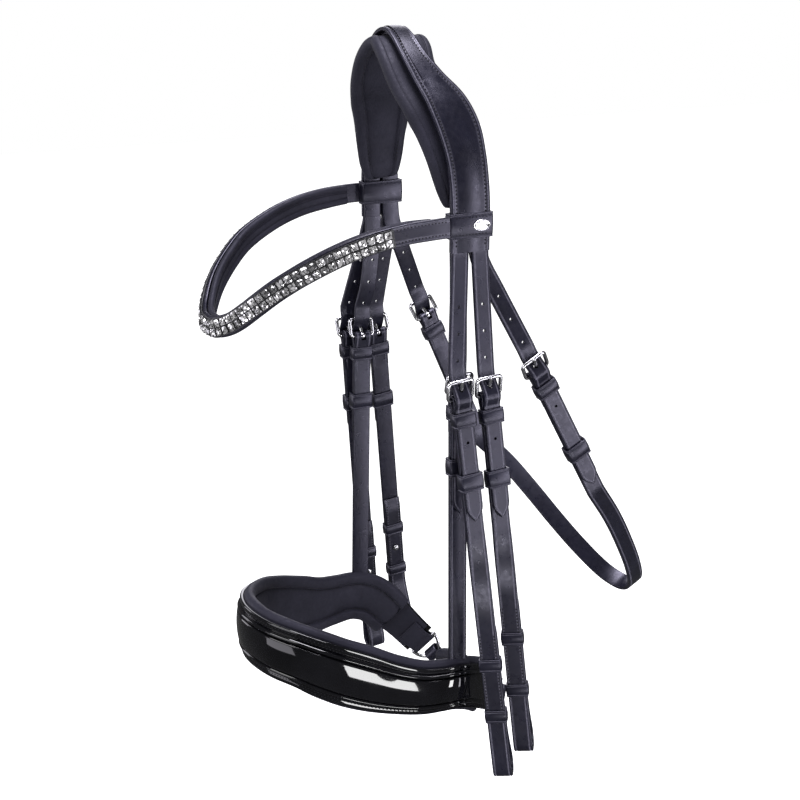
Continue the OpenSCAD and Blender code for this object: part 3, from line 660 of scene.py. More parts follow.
def fold_stitches(rows, seat, width):
    """Two short rows that close the fold below the bar."""
    fold = Line([seat.at(0.3, 0, z) for z in (-22, -31)], seat.y)
    for u in (-1, 1):
        rows.stitches(fold, u * (width / 2 - 2.0), outward(fold, seat, 1.5), start=0)


def folded_strap(seat, tail, tail_sides=None, tail_half=None):
    """Line and half thicknesses of a strap that is folded round its buckle bar and runs on along tail."""
    first = [seat.at(x, 0, z) for x, z in fold_points()]
    run = [seat.at(0.15, 0, -20), seat.at(0, 0, -34)]
    points = np.concatenate([first, dense(run, 7), tail])
    sides = [seat.y] * (len(points) - len(tail)) + (tail_sides or [seat.y] * len(tail))
    n = len(first)
    halves = [fold_thickness(i, n, 1.3) for i in range(n)]
    extra = len(points) - len(tail) - n
    halves += [1.3 + 0.3 * min(1, (k + 1) / extra) for k in range(extra)]
    return Line(points, sides), halves + (tail_half or [1.6] * len(tail))


def outward(line, seat, x):
    """A distance outward of a seat as one along the line's own outward direction."""
    return x if np.dot(line.out[0], seat.x) > 0 else -x


def cheek_route(seat, low, length, turn):
    """A bit cheekpiece below its fold: its points, their side directions and half thicknesses."""
    turned_from = -length + RETURN_LEN + 4
    bend = -length + LOOP_R
    plain = [seat.at(0, 0, z) for z in np.arange(-42, -100, -8)]
    sides = [seat.y] * len(plain)
    steps = 14
    for k in range(steps + 1):
        plain.append(seat.at(0, 0, -100 + (turned_from + 100) * k / steps))
        sides.append(seat.turned(turn * k / steps).y)
    touch = -CHEEK_T / 2 - GAP - THIN
    down = [(0, z) for z in np.linspace(turned_from - 8, bend, 14)]
    around = [(-LOOP_R + LOOP_R * math.cos(a), bend + LOOP_R * math.sin(a))
              for a in np.radians(np.arange(-15, -181, -15))]
    inner = -2 * LOOP_R
    back = curve([(inner, bend - 0.3, 0), (inner + 0.5, bend + 6, 0), (touch - 3, -length + 28, 0),
                  (touch - 0.4, -length + 38, 0), (touch, -length + 46, 0)], 4)[1:]
    up = [(touch, z) for z in np.arange(-length + 54, -length + RETURN_LEN - 5, 8)]
    ends = [(touch + 0.3, -length + RETURN_LEN - 4), (touch + 0.7, -length + RETURN_LEN)]
    lower = down + around + [(p[0], p[1]) for p in back] + up + ends
    halves = [1.6] * (len(plain) + len(down)) + [1.65] * len(around)
    halves += list(np.linspace(1.6, THIN, len(back))) + [THIN] * len(up) + [0.8, 0.35]
    return plain + [low.at(x, 0, z) for x, z in lower], sides + [low.y] * len(lower), halves


def bit_cheek(kind, side):
    """A bit cheekpiece: folded round its buckle, turned on its way down, with a stitched bit loop."""
    seat = seats[kind, side]
    length = FRONT_LEN if kind == "front" else REAR_LEN
    turn = LOOP_TURN if side == "near" else 0.0
    low = seat.turned(turn)
    line, half = folded_strap(seat, *cheek_route(seat, low, length, turn))
    soup, slots = Soup(), Soup()
    face = flipped if np.dot(line.out[20], seat.x) < 0 else list
    soup.sweep(line, lambda i: face(strap_section(CHEEK_W / 2, half[i])))
    fold_slot(slots, seat)
    name = f"{kind}_cheek_{side}"
    make(f"{name}_leather", soup, LEATHER, [name], cut=slots)
    rows = Soup()
    doubled = Line([low.at(0, 0, z) for z in (-length + 48, -length + RETURN_LEN - 3)], low.y)
    for u in (-1, 1):
        for top in (1.6, -2 * THIN - 1.9):
            rows.stitches(doubled, u * (CHEEK_W / 2 - 2.0), outward(doubled, low, top))
    fold_stitches(rows, seat, CHEEK_W)
    make(f"{name}_stitching", rows, LEATHER_THREAD)


def hanger(side):
    """A noseband hanger: a plain strap folded round its buckle."""
    seat = seats["hanger", side]
    tail = [seat.at(0, 0, z) for z in np.arange(-42, -HANG_LEN - 1, -8.9)]
    line, half = folded_strap(seat, tail)
    face = list if np.dot(line.out[-3], seat.x) >= 0 else flipped
    soup, slots = Soup(), Soup()
    soup.sweep(line, lambda i: face(strap_section(CHEEK_W / 2, half[i])))
    fold_slot(slots, seat)
    make(f"hanger_{side}_leather", soup, LEATHER, [f"hanger_{side}"], cut=slots)
    rows = Soup()
    fold_stitches(rows, seat, CHEEK_W)
    make(f"hanger_{side}_stitching", rows, LEATHER_THREAD)


def throatlatch():
    """One strap from the near buckle, under the throat, to the off buckle."""
    near, off = seats["throat", "near"], seats["throat", "off"]
    ends = []
    for seat in (near, off):
        points = fold_points()
        fold = [(seat.at(x, 0, z), fold_thickness(i, len(points), 1.3)) for i, (x, z) in enumerate(points)]
        run = [(seat.at(0.1, 0, z), 1.5) for z in (-20, -34)]
        run += [(seat.at(0, 0, z), 1.7) for z in np.arange(-46, -THROAT_RUN - 3, -12)]
        ends.append(fold + run)
    near_on, off_on = near.at(0, 0, -THROAT_RUN - 4), off.at(0, 0, -THROAT_RUN - 4)
    bend = curve([near_on] + [np.array(p, float) for p in THROAT] + [off_on], 6)
    points = [p for p, _ in ends[0]] + list(bend) + [p for p, _ in reversed(ends[1])]
    halves = [h for _, h in ends[0]] + [1.7] * len(bend) + [h for _, h in reversed(ends[1])]
    # The sides turn evenly from one straight end's direction to the other's.
    middle = unit((0, 0.87, 0.49))
    sides = [near.y] * len(ends[0])
    for k in range(len(bend)):
        t = min(1, 4 * min(k, len(bend) - 1 - k) / len(bend))
        sides.append((near.y if 2 * k < len(bend) else off.y) * (1 - t) + middle * t)
    sides += [off.y] * len(ends[1])
    line = Line(points, sides)
    soup, slots = Soup(), Soup()
    soup.sweep(line, lambda i: strap_section(THROAT_W / 2 - 0.1, halves[i]))
    for seat in (near, off):
        fold_slot(slots, seat)
    make("throatlatch_leather", soup, LEATHER, ["throatlatch"], cut=slots)
    rows = Soup()
    for seat in (near, off):
        fold_stitches(rows, seat, THROAT_W)
    make("throatlatch_stitching", rows, LEATHER_THREAD)


# --- Headpiece -------------------------------------------------------------

arch_curve = curve(mirrored(ARCH[:0:-1]) + ARCH, 8)
arch_line = Line(arch_curve, (0, 1, 0))


def headpiece():
    soup = Soup()
    half = arch_curve[:, 3]
    soup.sweep(arch_line, lambda i: strap_section(half[i], HEAD_T / 2, 1.5, 0.3, 1.0, 0.9, 4.0))
    make("headpiece_leather", soup, LEATHER, ["headpiece"], angle=50)
    rows = Soup()
    for u in (-1, 1):
        rows.stitches(arch_line, lambda s, u=u: u * (arch_line.value(half, s) - 4.0), HEAD_T / 2 + 0.2,
                      start=6, stop=arch_line.length - 5)
    make("headpiece_stitching", rows, LEATHER_THREAD)
    for side, flip in SIDES:
        for kind, y in (("front", MID_Y - SPLIT), ("rear", MID_Y + SPLIT)):
            top = [(flip * 75, y, -128), (flip * 75.2, y, -140)]
            billet(f"{kind}_billet_{side}", seats[kind, side], top, BILLET_W, POINT_LEN)
        top = [(flip * x, y, z) for x, y, z in
               ((71.8, 29.8, -104), (71.8, 30, -124), (71.8, 32, -142), (76.5, 43, -166))]
        billet(f"throat_billet_{side}_leather", seats["throat", side], top, THROAT_W - 1, THROAT_POINT,
               [f"throat_billet_{side}"])


def crown_pad():
    full = curve(mirrored(PAD[:0:-1]) + PAD, 8)
    base = Line(full, (0, 1, 0))
    drop = HEAD_T / 2 + BILLET_T + 2 * GAP + CROWN_PAD_T / 2
    at = base.p - base.out * drop
    at[:, 1] = full[:, 3]
    line = Line(at, (0, 1, 0))
    soup = Soup()
    ends = len(full) - 1

    def section(i):
        t = min(1, (min(i, ends - i) + 0.5) / 9)
        t = math.sqrt(1 - (1 - t) ** 2)
        hw = full[i, 4] * (0.64 + 0.36 * t)
        return pad_section(hw, CROWN_PAD_T / 2 * (0.35 + 0.65 * t), rim=0.42 * hw)

    soup.sweep(line, section, bump=lambda s, u, v: 0.25 * math.sin(s / 4.1) * math.cos(u / 3.0) * (v < 0))
    piece = make("crown_padding", soup, SOFT, ["crown_pad"], angle=60, smooth=True)
    rows = Soup()
    half = full[:, 4]
    for u in (-1, 1):
        rows.stitches(line, lambda s, u=u: u * (line.value(half, s) - 6.9), -CROWN_PAD_T / 2 + 0.4,
                      start=14, stop=line.length - 14, pitch=3.0)
    make("crown_padding_stitching", rows, SOFT_THREAD)


def sliphead():
    """The strap under the headpiece that carries the noseband."""
    drop = HEAD_T / 2 + GAP + BILLET_T / 2
    narrow = [(x, 0.25 * y + 0.12 * x, z) for x, y, z, _ in ARCH]
    base = Line(curve(mirrored(narrow[:0:-1]) + narrow, 6), (0, 1, 0))
    line = Line(base.p - base.out * drop, (0, 1, 0))
    soup = Soup()
    soup.sweep(line, lambda i: strap_section(BILLET_W / 2, BILLET_T / 2 - 0.1))
    make("sliphead_leather", soup, LEATHER, ["noseband_sliphead"])
    for side, flip in SIDES:
        top = [(flip * x, y, z) for x, y, z in ((71.8, 15, -136), (72.4, 15, -150), (77, 13, -190))]
        billet(f"hanger_billet_{side}", seats["hanger", side], top, BILLET_W, POINT_LEN)


# --- Browband --------------------------------------------------------------

brow_line = Line(curve(mirrored(BROW[:0:-1]) + BROW, 8), (0, 0, 1))


def browband():
    soup = Soup()
    soup.sweep(brow_line, lambda i: strap_section(BROW_H / 2, BROW_T / 2, 1.1, 0.25, 1.0, 0, 3.0))
    make("browband_leather", soup, LEATHER, ["browband"], body="browband")
    rows = Soup()
    for u in (-1, 1):
        rows.stitches(brow_line, u * (BROW_H / 2 - 3.0), BROW_T / 2, start=3, pitch=2.6)
    make("browband_stitching", rows, LEATHER_THREAD, body="browband")


def browband_lining():
    skip, last = 7, len(brow_line.p) - 1
    soup = Soup()

    def section(i):
        t = min(1, (min(i, last - i) - skip + 1) / 9)
        return pad_section((BROW_H / 2 + 0.6) * (0.86 + 0.14 * t), LINING_T / 2 * (0.35 + 0.65 * t), rim=5,
                           sink=0.7, seam=0.6)

    soup.sweep(brow_line, section, out=-BROW_T / 2 - BENT_GAP - LINING_T / 2 + 0.6, skip=skip)
    piece = make("browband_padding", soup, SOFT, ["browband_lining"], body="browband", angle=60, smooth=True)


def browband_loop(side, flip):
    """A leather loop round the headpiece's side, with creased edges."""
    seat = Seat((0, 0, BROW_LOOP_Z), (0, 1, 0), (0, 0, 1))
    x0, x1 = BROW_LOOP_X
    y0, y1 = MID_Y - HEAD_W / 2 - 0.4, MID_Y + HEAD_W / 2 + 0.4
    top = BROW_LOOP_H / 2
    soup = Soup()
    band(soup, seat, flip * (x0 + x1) / 2, (y0 + y1) / 2, x1 - x0, y1 - y0, -top, top, BROW_LOOP_WALL)
    make(f"browband_loop_{side}_leather", soup, LEATHER, [f"browband_loop_{side}"], body="browband")
    rows = Soup()
    face = flip * (x1 + BROW_LOOP_WALL)
    for z in (BROW_LOOP_Z - top + 3, BROW_LOOP_Z + top - 3):
        rows.stitches(Line([(face, y0 + 1.5, z), (face, y1 - 1.5, z)], (0, 0, 1)), 0, 0)
    make(f"browband_loop_{side}_stitching", rows, LEATHER_THREAD, body="browband")


def band(soup, seat, cx, cy, wx, wy, low, high, wall):
    """A flat band round a rectangle wx by wy inside, in a seat's axes, with creased edges and a painted
    highlight along the creases.
    """
    path = []
    for sx, sy, start in ((1, 1, 0), (-1, 1, 90), (-1, -1, 180), (1, -1, 270)):
        for k in range(5):
            a = math.radians(start + 22.5 * k)
            n = (math.cos(a), math.sin(a))
            path.append((cx + sx * (wx / 2 - 0.2) + 0.2 * n[0], cy + sy * (wy / 2 - 0.2) + 0.2 * n[1], n))
    r, c, depth = 0.5, 1.5, 0.25
    profile = [(0, low), (wall - r, low)] + [
        (wall - r + r * math.sin(a), low + r - r * math.cos(a)) for a in np.radians((30, 60, 90))]
    profile += [(wall, low + c - 0.4), (wall - depth, low + c), (wall, low + c + 0.4)]
    middle = (low + high) / 2
    profile += [(wall + depth, middle)]
    profile += [(x, low + high - z) for x, z in reversed(profile[:-1])]
    rings = [[seat.at(x + n[0] * t, y + n[1] * t, z) for t, z in profile] for x, y, n in path]
    # The crease groove's points take the pale leather colour: a painted highlight.
    painted_crease_highlight = [1 if abs(t - wall + depth) < 0.01 and z != middle else 0 for t, z in profile]
    soup.rings(rings, closed=True, tone_and_painted_light=painted_crease_highlight * len(path))


def badge():
    """A plain oval plate with a raised rim."""
    x, y, z = BROW_LOOP_X[1] + BROW_LOOP_WALL, 30, BROW_LOOP_Z
    long, short = 6.8, 4
    soup = Soup()
    soup.rings([[(x + out, y + size * long * math.cos(a), z + size * short * math.sin(a)) for a in turns(40)]
                for out, size in ((0, 1), (0.55, 1), (0.8, 0.95), (0.8, 0.86), (0.55, 0.80), (0.6, 0.4),
                                  (0.62, 0.05))])
    make("badge_oval", soup, BADGE, ["badge_plate"], body="browband")


def stone_mesh(soup, p, along, side, out, tone, dice):
    """One square cut stone: a cup and a top of small tilted facets, each also given a painted reflection: its
    own lighter or darker colour.
    """
    half = STONE / 2 - 0.2
    low = [(half, -half), (half, half), (-half, half), (-half, -half)]
    cup = [[p + along * x + side * y + out * v for x, y in low] for v in (0, 0.7)]
    soup.rings(cup, caps=False)
    n = 4
    top = {}
    for i in range(n + 1):
        for j in range(n + 1):
            rim = i in (0, n) or j in (0, n)
            x, y = half * (2 * i / n - 1), half * (2 * j / n - 1)
            wander = 0 if rim else 0.35
            v = 0.7 if rim else 1.75 + dice.uniform(-0.3, 0.15)
            x += dice.uniform(-wander, wander)
            y += dice.uniform(-wander, wander)
            top[i, j] = p + along * x + side * y + out * v
    for i in range(n):
        for j in range(n):
            a, b, c, d = top[i, j], top[i + 1, j], top[i + 1, j + 1], top[i, j + 1]
            cuts = ((a, b, c), (a, c, d)) if (i + j) % 2 else ((a, b, d), (b, c, d))
            for cut in cuts:
                # Each facet's colour is a painted reflection, from dark to bright, times the stone's own
                # tone.
                soup.add(cut, [[0, 1, 2]], tone * dice.choice((0.05, 0.3, 0.75, 1.0, 1.0)))


def stones():
    base = BROW_T / 2 + BENT_GAP + CHANNEL_T - 0.2
    dice = random.Random(11)
    for name, up in (("upper", 1), ("lower", -1)):
        soup = Soup()
        for k in range(STONES):
            s = brow_line.length / 2 + (k - (STONES - 1) / 2) * STONE_PITCH
            p, d, side, out = brow_line.at(s)
            # Each stone's own tone, from dark to clear.
            tone = dice.choice((0.3, 0.7, 1.0, 1.0))
            tilt = unit(out + d * dice.uniform(-0.08, 0.08) + side * dice.uniform(-0.08, 0.08))
            across = unit(side - (side @ tilt) * tilt)
            seat = p + side * up * STONE_PITCH / 2 + out * base
            stone_mesh(soup, seat, np.cross(across, tilt), across, tilt, tone, dice)
        make(f"crystals_{name}", soup, CRYSTAL, [f"stones_{name}"], body="browband", angle=5)


def stone_channel():
    """The strip under the stones, with a claw at every corner of a stone."""
    half = STONES * STONE_PITCH / 2 + 1.5
    middle = brow_line.length / 2
    spots = np.linspace(middle - half, middle + half, 120)
    line = Line([brow_line.at(s)[0] for s in spots], (0, 0, 1))
    soup = Soup()
    soup.sweep(line, lambda i: strap_section(STONE_PITCH + 0.4, 0.5, 0.6, 0, 0.3),
               out=BROW_T / 2 + BENT_GAP)
    base = BROW_T / 2 + BENT_GAP + 0.4
    for k in range(STONES + 1):
        s = middle + (k - STONES / 2) * STONE_PITCH
        p, d, side, out = brow_line.at(s)
        for row in (-1, 0, 1):
            foot = p + side * row * STONE_PITCH + out * base
            ring = [foot + d * u + side * v for u, v in round_section(0.42, 0.42, 6)]
            top = [foot + out * 1.25 + (q - foot) * 0.5 for q in ring]
            soup.rings([ring, [q + out * 0.7 for q in ring], top])
    make("stone_strip", soup, SETTING, ["stone_channel"], body="browband")


# --- Buckles, tongues, keepers ---------------------------------------------


def buckle(soup, seat, width):
    """A wire frame with round corners, leaning out over its strap."""
    half = width / 2 + 0.9 + WIRE_R
    up = math.cos(LEAN) * seat.z + math.sin(LEAN) * seat.x
    out = math.cos(LEAN) * seat.x - math.sin(LEAN) * seat.z
    r = 2.6
    path = []
    for cy, cz, start in ((half - r, FRAME_UP - r, 0), (r - half, FRAME_UP - r, 90), (r - half, r, 180),
                          (half - r, r, 270)):
        for k in range(7):
            a = math.radians(start + 15 * k)
            path.append((cy + r * math.cos(a), cz + r * math.sin(a), math.cos(a), math.sin(a)))
    rings = []
    for y, z, ny, nz in path:
        centre = seat.o + y * seat.y + z * up
        normal = ny * seat.y + nz * up
        rings.append([centre + u * normal + v * out for u, v in round_section(WIRE_R, WIRE_R, 14)])
    soup.rings(rings, closed=True)


def tongue(name, seat):
    """A tongue: its eye round the bar, and a pin that thins towards its round tip."""
    along = math.cos(TONGUE_LEAN) * seat.z + math.sin(TONGUE_LEAN) * seat.x
    over = math.cos(TONGUE_LEAN) * seat.x - math.sin(TONGUE_LEAN) * seat.z
    length = BUCKLE_H + 3.5
    soup = Soup()
    inner, outer, half = WIRE_R + 0.05, WIRE_R + 1.3, 1.6
    profile = [(inner, -half), (outer - 0.3, -half), (outer, -half + 0.35), (outer, half - 0.35),
               (outer - 0.3, half), (inner, half)]
    rings = [[seat.o + (r * math.cos(a)) * along + (r * math.sin(a)) * over + y * seat.y for r, y in profile]
             for a in turns(24)]
    soup.rings(rings, closed=True)
    pin = []
    for t, r in ((1.75, 1.1), (4, 1.1), (9, 1.08), (13, 1.02), (15.5, 0.95), (16.4, 0.72), (16.85, 0.4),
                 (length, 0.05)):
        pin.append([seat.o + along * t + seat.y * (1.4 * u) + over * v for u, v in round_section(r, r, 12)])
    soup.rings(pin)
    make(f"{name}_pin", soup, STEEL, [name], body=name, angle=45)


def keeper(soup, seat, x0, x1, width, top, height, wall=KEEPER_WALL):
    """A keeper from x0 to x1 inside, whose upper edge is at top along the strap."""
    band(soup, seat, (x0 + x1) / 2, 0, x1 - x0, width, top - height, top, wall)


def strap_x():
    """From the inner face of a strap to the outer face of the billet on it."""
    return -CHEEK_T / 2, REST_X + BILLET_T / 2 + GAP


def buckles_and_keepers():
    for side, _ in SIDES:
        frames, fixed = Soup(), Soup()
        for kind in KINDS:
            seat = seats[kind, side]
            width = THROAT_W if kind == "throat" else CHEEK_W
            buckle(frames, seat, width)
            keeper(fixed, seat, *strap_x(), width, FIXED_TOP, FIXED_H)
            tongue(f"tongue_{kind}_{side}", seat)
            middle = {"hanger": HANG_RUNNER, "throat": THROAT_RUNNER}.get(kind, CHEEK_RUNNER)
            slider = Soup()
            x0, x1 = strap_x()
            keeper(slider, seat, x0 - 0.25, x1 + 0.05, width + 0.5, middle + RUNNER_H / 2, RUNNER_H)
            name = f"runner_{kind}_{side}"
            make(f"{name}_leather", slider, LEATHER, [name], body=name)
        make(f"buckle_wires_{side}", frames, STEEL, [f"buckle_frames_{side}"], angle=60)
        make(f"stitched_keepers_{side}", fixed, LEATHER, [f"fixed_keepers_{side}"])


def bit_loop_fittings():
    """The keepers round the bit loops, and the studs that hook through their return legs."""
    for side, _ in SIDES:
        keepers, studs = Soup(), Soup()
        turn = LOOP_TURN if side == "near" else 0.0
        for kind, length in (("front", FRONT_LEN), ("rear", REAR_LEN)):
            low = seats[kind, side].turned(turn)
            for up in (94, 52):
                keeper(keepers, low, -CHEEK_T / 2 - 2 * THIN - 2 * GAP, CHEEK_T / 2, CHEEK_W,
                       -length + up + LOOP_KEEPER_H / 2, LOOP_KEEPER_H, 1.1)
            z = -length + STUD_UP
            studs.rings([[low.at(-CHEEK_T / 2 - out, u, z + v) for u, v in round_section(r, r, 20)]
                         for out, r in ((0, 1.2), (3, 1.2), (3.4, 2), (3.6, 2.8), (4.2, 2.8), (4.8, 2.3),
                                        (5.1, 1.3), (5.2, 0.1))])
        make(f"bit_loop_keepers_{side}", keepers, LEATHER, [f"loop_keepers_{side}"])
        make(f"studs_{side}", studs, STEEL, [f"hook_studs_{side}"], angle=50)


# --- Noseband --------------------------------------------------------------

nose_curve = curve(mirrored(NOSE_OFF[::-1]) + NOSE_NEAR, 8)
nose_line = Line(nose_curve, (0, 0, 1))
nose_half = nose_curve[:, 3] * NOSE_H / 2


def noseband_section(i):
    """The patent leather's face: flat borders, a bead on each side and a raised, crowned panel."""
    last = len(nose_line.p) - 1
    fade = min(1.0, min(i, last - i) / 34)
    fade = fade * fade * (3 - 2 * fade)
    hw, ht = nose_half[i], NOSE_T / 2
    b = hw * PANEL_SHARE
    r = 1.0
    right = [(hw - 2.2, ht), (b + 4.4, ht + 0.1), (b + 3.9, ht - 0.35 * fade)]
    right += [(b + 2.1 + 1.7 * math.cos(a), ht + 2.3 * fade * math.sin(a))
              for a in np.radians((20, 50, 80, 110, 140, 165))]
    right += [(b + 0.2, ht - 0.4 * fade), (b - 0.4, ht + 0.5 * fade)]
    right += [(b * t, ht + fade * (2.2 + 1.3 * (1 - t * t)) * min(1, (1 - t) * 9 + 0.45))
              for t in (0.97, 0.93, 0.86, 0.7, 0.5, 0.25)]
    left = [(-u, v) for u, v in reversed(right)]
    return (arc(hw - r, ht - r, r, 0, 90) + right + [(0, ht + 3.5 * fade)] + left
            + arc(r - hw, ht - r, r, 90, 180) + arc(r - hw, r - ht, r, 180, 270)
            + arc(hw - r, r - ht, r, 270, 360))


def noseband():
    soup = Soup()
    soup.sweep(nose_line, noseband_section)
    make("noseband_patent", soup, PATENT, ["noseband_leather", "noseband_panel"], angle=50)
    rows = Soup()
    for u in (-1, 1):
        rows.stitches(nose_line, lambda s, u=u: u * (nose_line.value(nose_half, s) - 2.6),
                      NOSE_T / 2 + 0.1, start=4)
        rows.stitches(nose_line, lambda s, u=u: u * (nose_line.value(nose_half, s) * PANEL_SHARE + 5.6),
                      NOSE_T / 2 + 0.1, start=60, stop=nose_line.length - 60)
    make("noseband_stitching", rows, PATENT_THREAD)


def noseband_lining():
    """The matte leather on the inner face of the patent, seen beyond the ends of the padding."""
    soup = Soup()
    soup.sweep(nose_line, lambda i: strap_section(nose_half[i] - 0.5, 0.35, 1, 0, 0.3), out=-NOSE_T / 2 - 0.3,
               skip=1)
    make("noseband_inner_face", soup, SOFT)


def noseband_padding():
    skip, last = 8, len(nose_line.p) - 1
    soup = Soup()

    def section(i):
        near_end = min(1, (min(i, last - i) - skip + 1) / 5)
        return pad_section(nose_half[i] + 4, NOSE_PAD_T / 2 * (0.5 + 0.5 * near_end), rim=10, sink=2.2)

    soup.sweep(nose_line, section, out=-NOSE_T / 2 - BENT_GAP - NOSE_PAD_T / 2 + 0.5, skip=skip,
               bump=lambda s, u, v: 0.3 * math.sin(s / 5.3) * math.cos(u / 4.0) * (v < 0))
    piece = make("noseband_pad", soup, SOFT, ["noseband_padding"], angle=60, smooth=True)
    rows = Soup()
    for u in (-1, 1):
        rows.stitches(nose_line, lambda s, u=u: u * (nose_line.value(nose_half, s) - 7.0),
                      -NOSE_T / 2 - BENT_GAP - NOSE_PAD_T + 2.0, start=45, stop=nose_line.length - 45,
                      pitch=3.2)
    make("noseband_pad_stitching", rows, SOFT_THREAD)


def ring_tab(side):
    """A soft tab from the noseband's end, folded round the ring's bar."""
    seat = ring_seat(side)
    half = (2 * (RING_R - WIRE_R) - 1.5) / 2
    mid, ht = WIRE_R + 1.05, 0.85
    path = [(-NOSE_T / 2 - BENT_GAP - 1, z) for z in (18, 14, 9, 5)]
    path += [(mid * math.cos(a), mid * math.sin(a)) for a in np.radians(np.arange(150, 401, 25))]
    path += [(1.3, 4.2), (0.6, 5.6)]
    line = Line(curve([seat.at(x, 0, z) for x, z in path], 3), seat.y)
    soup = Soup()
    soup.sweep(line, lambda i: strap_section(half, ht, 1.5, 0.2, 0.6))
    make(f"ring_tab_{side}_leather", soup, SOFT, [f"ring_tab_{side}"], angle=50)


# --- Chin strap ------------------------------------------------------------

EYE_R, EYE_AT = 4.2, -RING_R + 1
UP = (0, 0, 1)


def eye(soup, seat, width):
    """A strap's end rolled round the ring's wire."""
    profile = [(EYE_R, -width / 2), (EYE_R + 1.1, -width / 2), (EYE_R + 1.5, 0.4 - width / 2),
               (EYE_R + 1.5, width / 2 - 0.4), (EYE_R + 1.1, width / 2), (EYE_R, width / 2)]
    rings = [[seat.at(r * math.cos(a), y, EYE_AT + r * math.sin(a)) for r, y in profile] for a in turns(28)]
    soup.rings(rings, closed=True)


def eye_wall(seat, p):
    """Where a strap that comes from p meets the wall of a seat's eye."""
    middle = seat.at(0, 0, EYE_AT)
    v = np.asarray(p, float) - middle
    v = v - (v @ seat.y) * seat.y
    return middle + (EYE_R + 1.45) * unit(v)


def chin_strap():
    """The strap from the chin buckle to the off ring."""
    off = ring_seat("off")
    inner = [chin_seat.at(0, 0, z) for z in (-12, -15, -22, -30, -CHIN_RUN)]
    far = curve([np.array(p, float) for p in CHIN_ROUTE] + [eye_wall(off, CHIN_ROUTE[-1])], 4)
    fold = [chin_seat.at(x, 0, z) for x, z in fold_points()[2:]]
    sides = [chin_seat.y] * (len(fold) + 4) + [UP] * len(far)
    line = Line(np.concatenate([fold[:-1], inner, far]), sides)
    last = len(line.p) - 1
    halves = [0.7, 0.9] + [1.0] * (len(fold) - 3) + [1.3] * (last - len(fold) + 1) + [0.7]
    soup, slots = Soup(), Soup()
    soup.sweep(line, lambda i: strap_section(CHIN_W / 2 - (2.0 if i == last else 0), halves[i]))
    eye(soup, off, CHIN_W - 2)
    fold_slot(slots, chin_seat)
    make("chin_strap_leather", soup, LEATHER, ["chin_strap"], cut=slots)


def chin_billet():
    """The billet from the near ring through the chin buckle."""
    near = ring_seat("near")
    low = [chin_seat.at(x, 0, z) for x, z in
           ((0.4, 13), (OVER_X, 1.5), (OVER_X, -1.5), (REST_X + 0.5, -6), (REST_X, -9))]
    enter = low[0] + 9 * chin_seat.z
    tip = [chin_seat.at(REST_X, 0, -CHIN_POINT + t) for t in (14, 10, 7, 5, 3, 1.5, 0.6, 0)]
    line = Line(np.concatenate([[eye_wall(near, enter), enter], curve(low, 4), tip]), chin_seat.y)
    hw = pointed(line, CHIN_W / 2 - 0.5, 11)
    hw[0] -= 2
    soup, holes = Soup(), Soup()
    soup.sweep(line, lambda i: strap_section(hw[i], BILLET_T / 2 if i else 0.7))
    eye(soup, near, CHIN_W - 2)
    tongue_hole(holes, chin_seat)
    rod(holes, chin_seat.at(0.3, 0, -PITCH + 4), chin_seat.at(9, 0, -PITCH + 4), HOLE_R - 0.2)
    make("chin_billet_leather", soup, LEATHER, ["chin_billet"], cut=holes)


def chin_padding():
    """The pad behind the chin strap, which follows the strap's bend."""
    drop = -CHEEK_T / 2 - CHIN_WALL - 2 * GAP - CHIN_T / 2
    first = [chin_seat.at(drop, 0, z) for z in (-2, -20, -CHIN_RUN)]
    route = Line([chin_seat.at(0, 0, -CHIN_RUN)] + [np.array(p, float) for p in CHIN_ROUTE], UP)
    rest = [route.p[i] + route.out[i] * drop for i in (1, 2)]
    line = Line(curve(first + rest, 6), UP)
    last = len(line.p) - 1

    def section(i):
        t = min(1, (min(i, last - i) + 0.6) / 5)
        t = math.sqrt(1 - (1 - t) ** 2)
        return pad_section(CHIN_H / 2 * (0.62 + 0.38 * t), CHIN_T / 2 * (0.35 + 0.65 * t), rim=8, sink=0.8)

    soup = Soup()
    soup.sweep(line, section)
    piece = make("chin_padding", soup, SOFT, ["chin_pad"], angle=70, smooth=True)


def chin_fittings():
    """The chin buckle, its tongue and the keeper under it."""
    soup = Soup()
    buckle(soup, chin_seat, CHIN_W)
    make("chin_buckle_wire", soup, STEEL, ["chin_buckle"], angle=60)
    tongue("chin_tongue", chin_seat)
    soup = Soup()
    keeper(soup, chin_seat, *strap_x(), CHIN_W, FIXED_TOP, 8, CHIN_WALL)
    make("chin_keeper_leather", soup, LEATHER, ["chin_keeper"])


# --- The whole bridle ------------------------------------------------------

headpiece()
crown_pad()
sliphead()
browband()
browband_lining()
stone_channel()
stones()
badge()
for side, flip in SIDES:
    browband_loop(side, flip)
    bit_cheek("front", side)
    bit_cheek("rear", side)
    hanger(side)
    ring_tab(side)
throatlatch()
buckles_and_keepers()
bit_loop_fittings()
noseband()
noseband_lining()
noseband_padding()
chin_strap()
chin_billet()
chin_padding()
chin_fittings()
for side, _ in SIDES:
    ring = frame["nodes"][f"ring_{side}"]
    ring.data.materials.clear()
    ring.data.materials.append(STEEL[0])
    ring.data.shade_smooth()

# --- Floor and light -------------------------------------------------------


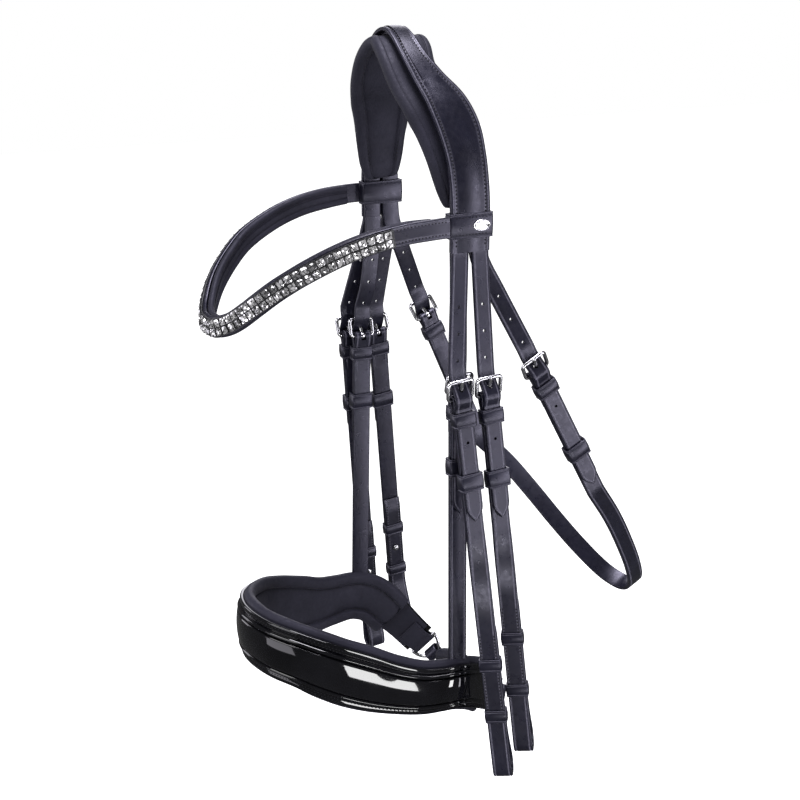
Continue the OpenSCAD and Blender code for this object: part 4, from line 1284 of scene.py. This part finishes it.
def floor():
    low = cad_box[0].z - 0.75
    mesh = bpy.data.meshes.new("floor")
    r = 8.0
    mesh.from_pydata([(-r, -r, low), (r, -r, low), (r, r, low), (-r, r, low)], [], [(0, 1, 2, 3)])
    piece = bpy.data.objects.new("floor", mesh)
    bpy.context.scene.collection.objects.link(piece)
    made = Shader("pale_floor", Roughness=0.9, Emission_Strength=0.45, Emission_Color=(1, 1, 1, 1))
    colour = made.ramp(made.noise(2), (0.92, 0.92, 0.93), (0.95, 0.95, 0.96))
    made.put(made.surface.inputs["Base Color"], colour)
    mesh.materials.append(made.material)
    piece.visible_glossy = False


def area_light(name, at, to, size, power, colour=(1, 1, 1)):
    data = bpy.data.lights.new(name, "AREA")
    data.shape = "RECTANGLE"
    data.size, data.size_y = size
    data.energy, data.color = power, colour
    lamp = bpy.data.objects.new(name, data)
    lamp.location = at
    lamp.rotation_euler = (Vector(to) - Vector(at)).to_track_quat("-Z", "Y").to_euler()
    lamp.visible_camera = False
    bpy.context.scene.collection.objects.link(lamp)


def world():
    """White behind the bridle and round it, but dimmer in its reflections, as in a room with soft boxes."""
    made = bpy.data.worlds.new("studio")
    bpy.context.scene.world = made
    made.use_nodes = True
    tree = made.node_tree
    background = tree.nodes["Background"]
    background.inputs["Color"].default_value = (1.0, 1.0, 1.0, 1)
    path = tree.nodes.new("ShaderNodeLightPath")
    dim = tree.nodes.new("ShaderNodeMapRange")
    dim.inputs["To Min"].default_value, dim.inputs["To Max"].default_value = 1.0, 0.10
    tree.links.new(path.outputs["Is Glossy Ray"], dim.inputs["Value"])
    tree.links.new(dim.outputs["Result"], background.inputs["Strength"])


def lights():
    middle = (0, 0, -0.27)
    lilac = (0.94, 0.92, 1)
    area_light("key", (0.5, -1.5, 0.9), middle, (1.0, 1.0), 18)
    area_light("right", (1.4, 1.1, -0.45), middle, (0.5, 1.5), 16, lilac)
    area_light("top", (0.1, 0.1, 1.3), middle, (0.8, 0.8), 38, lilac)
    area_light("back", (-1.5, 0.7, 0.3), middle, (0.8, 1.4), 9, lilac)
    area_light("left", (-1.2, -1.2, 0.0), middle, (0.6, 1.4), 8, lilac)
    area_light("low_front", (1.32, -0.45, -0.80), (0.06, -0.08, -0.45), (0.22, 0.36), 4)
    area_light("low_right", (1.3, 0.3, -0.70), (0.06, -0.04, -0.45), (0.12, 0.36), 2.5)
    area_light("low_left", (0.3, -1.6, -0.6), (0.0, -0.1, -0.45), (0.9, 0.7), 5, lilac)


floor()
world()
lights()
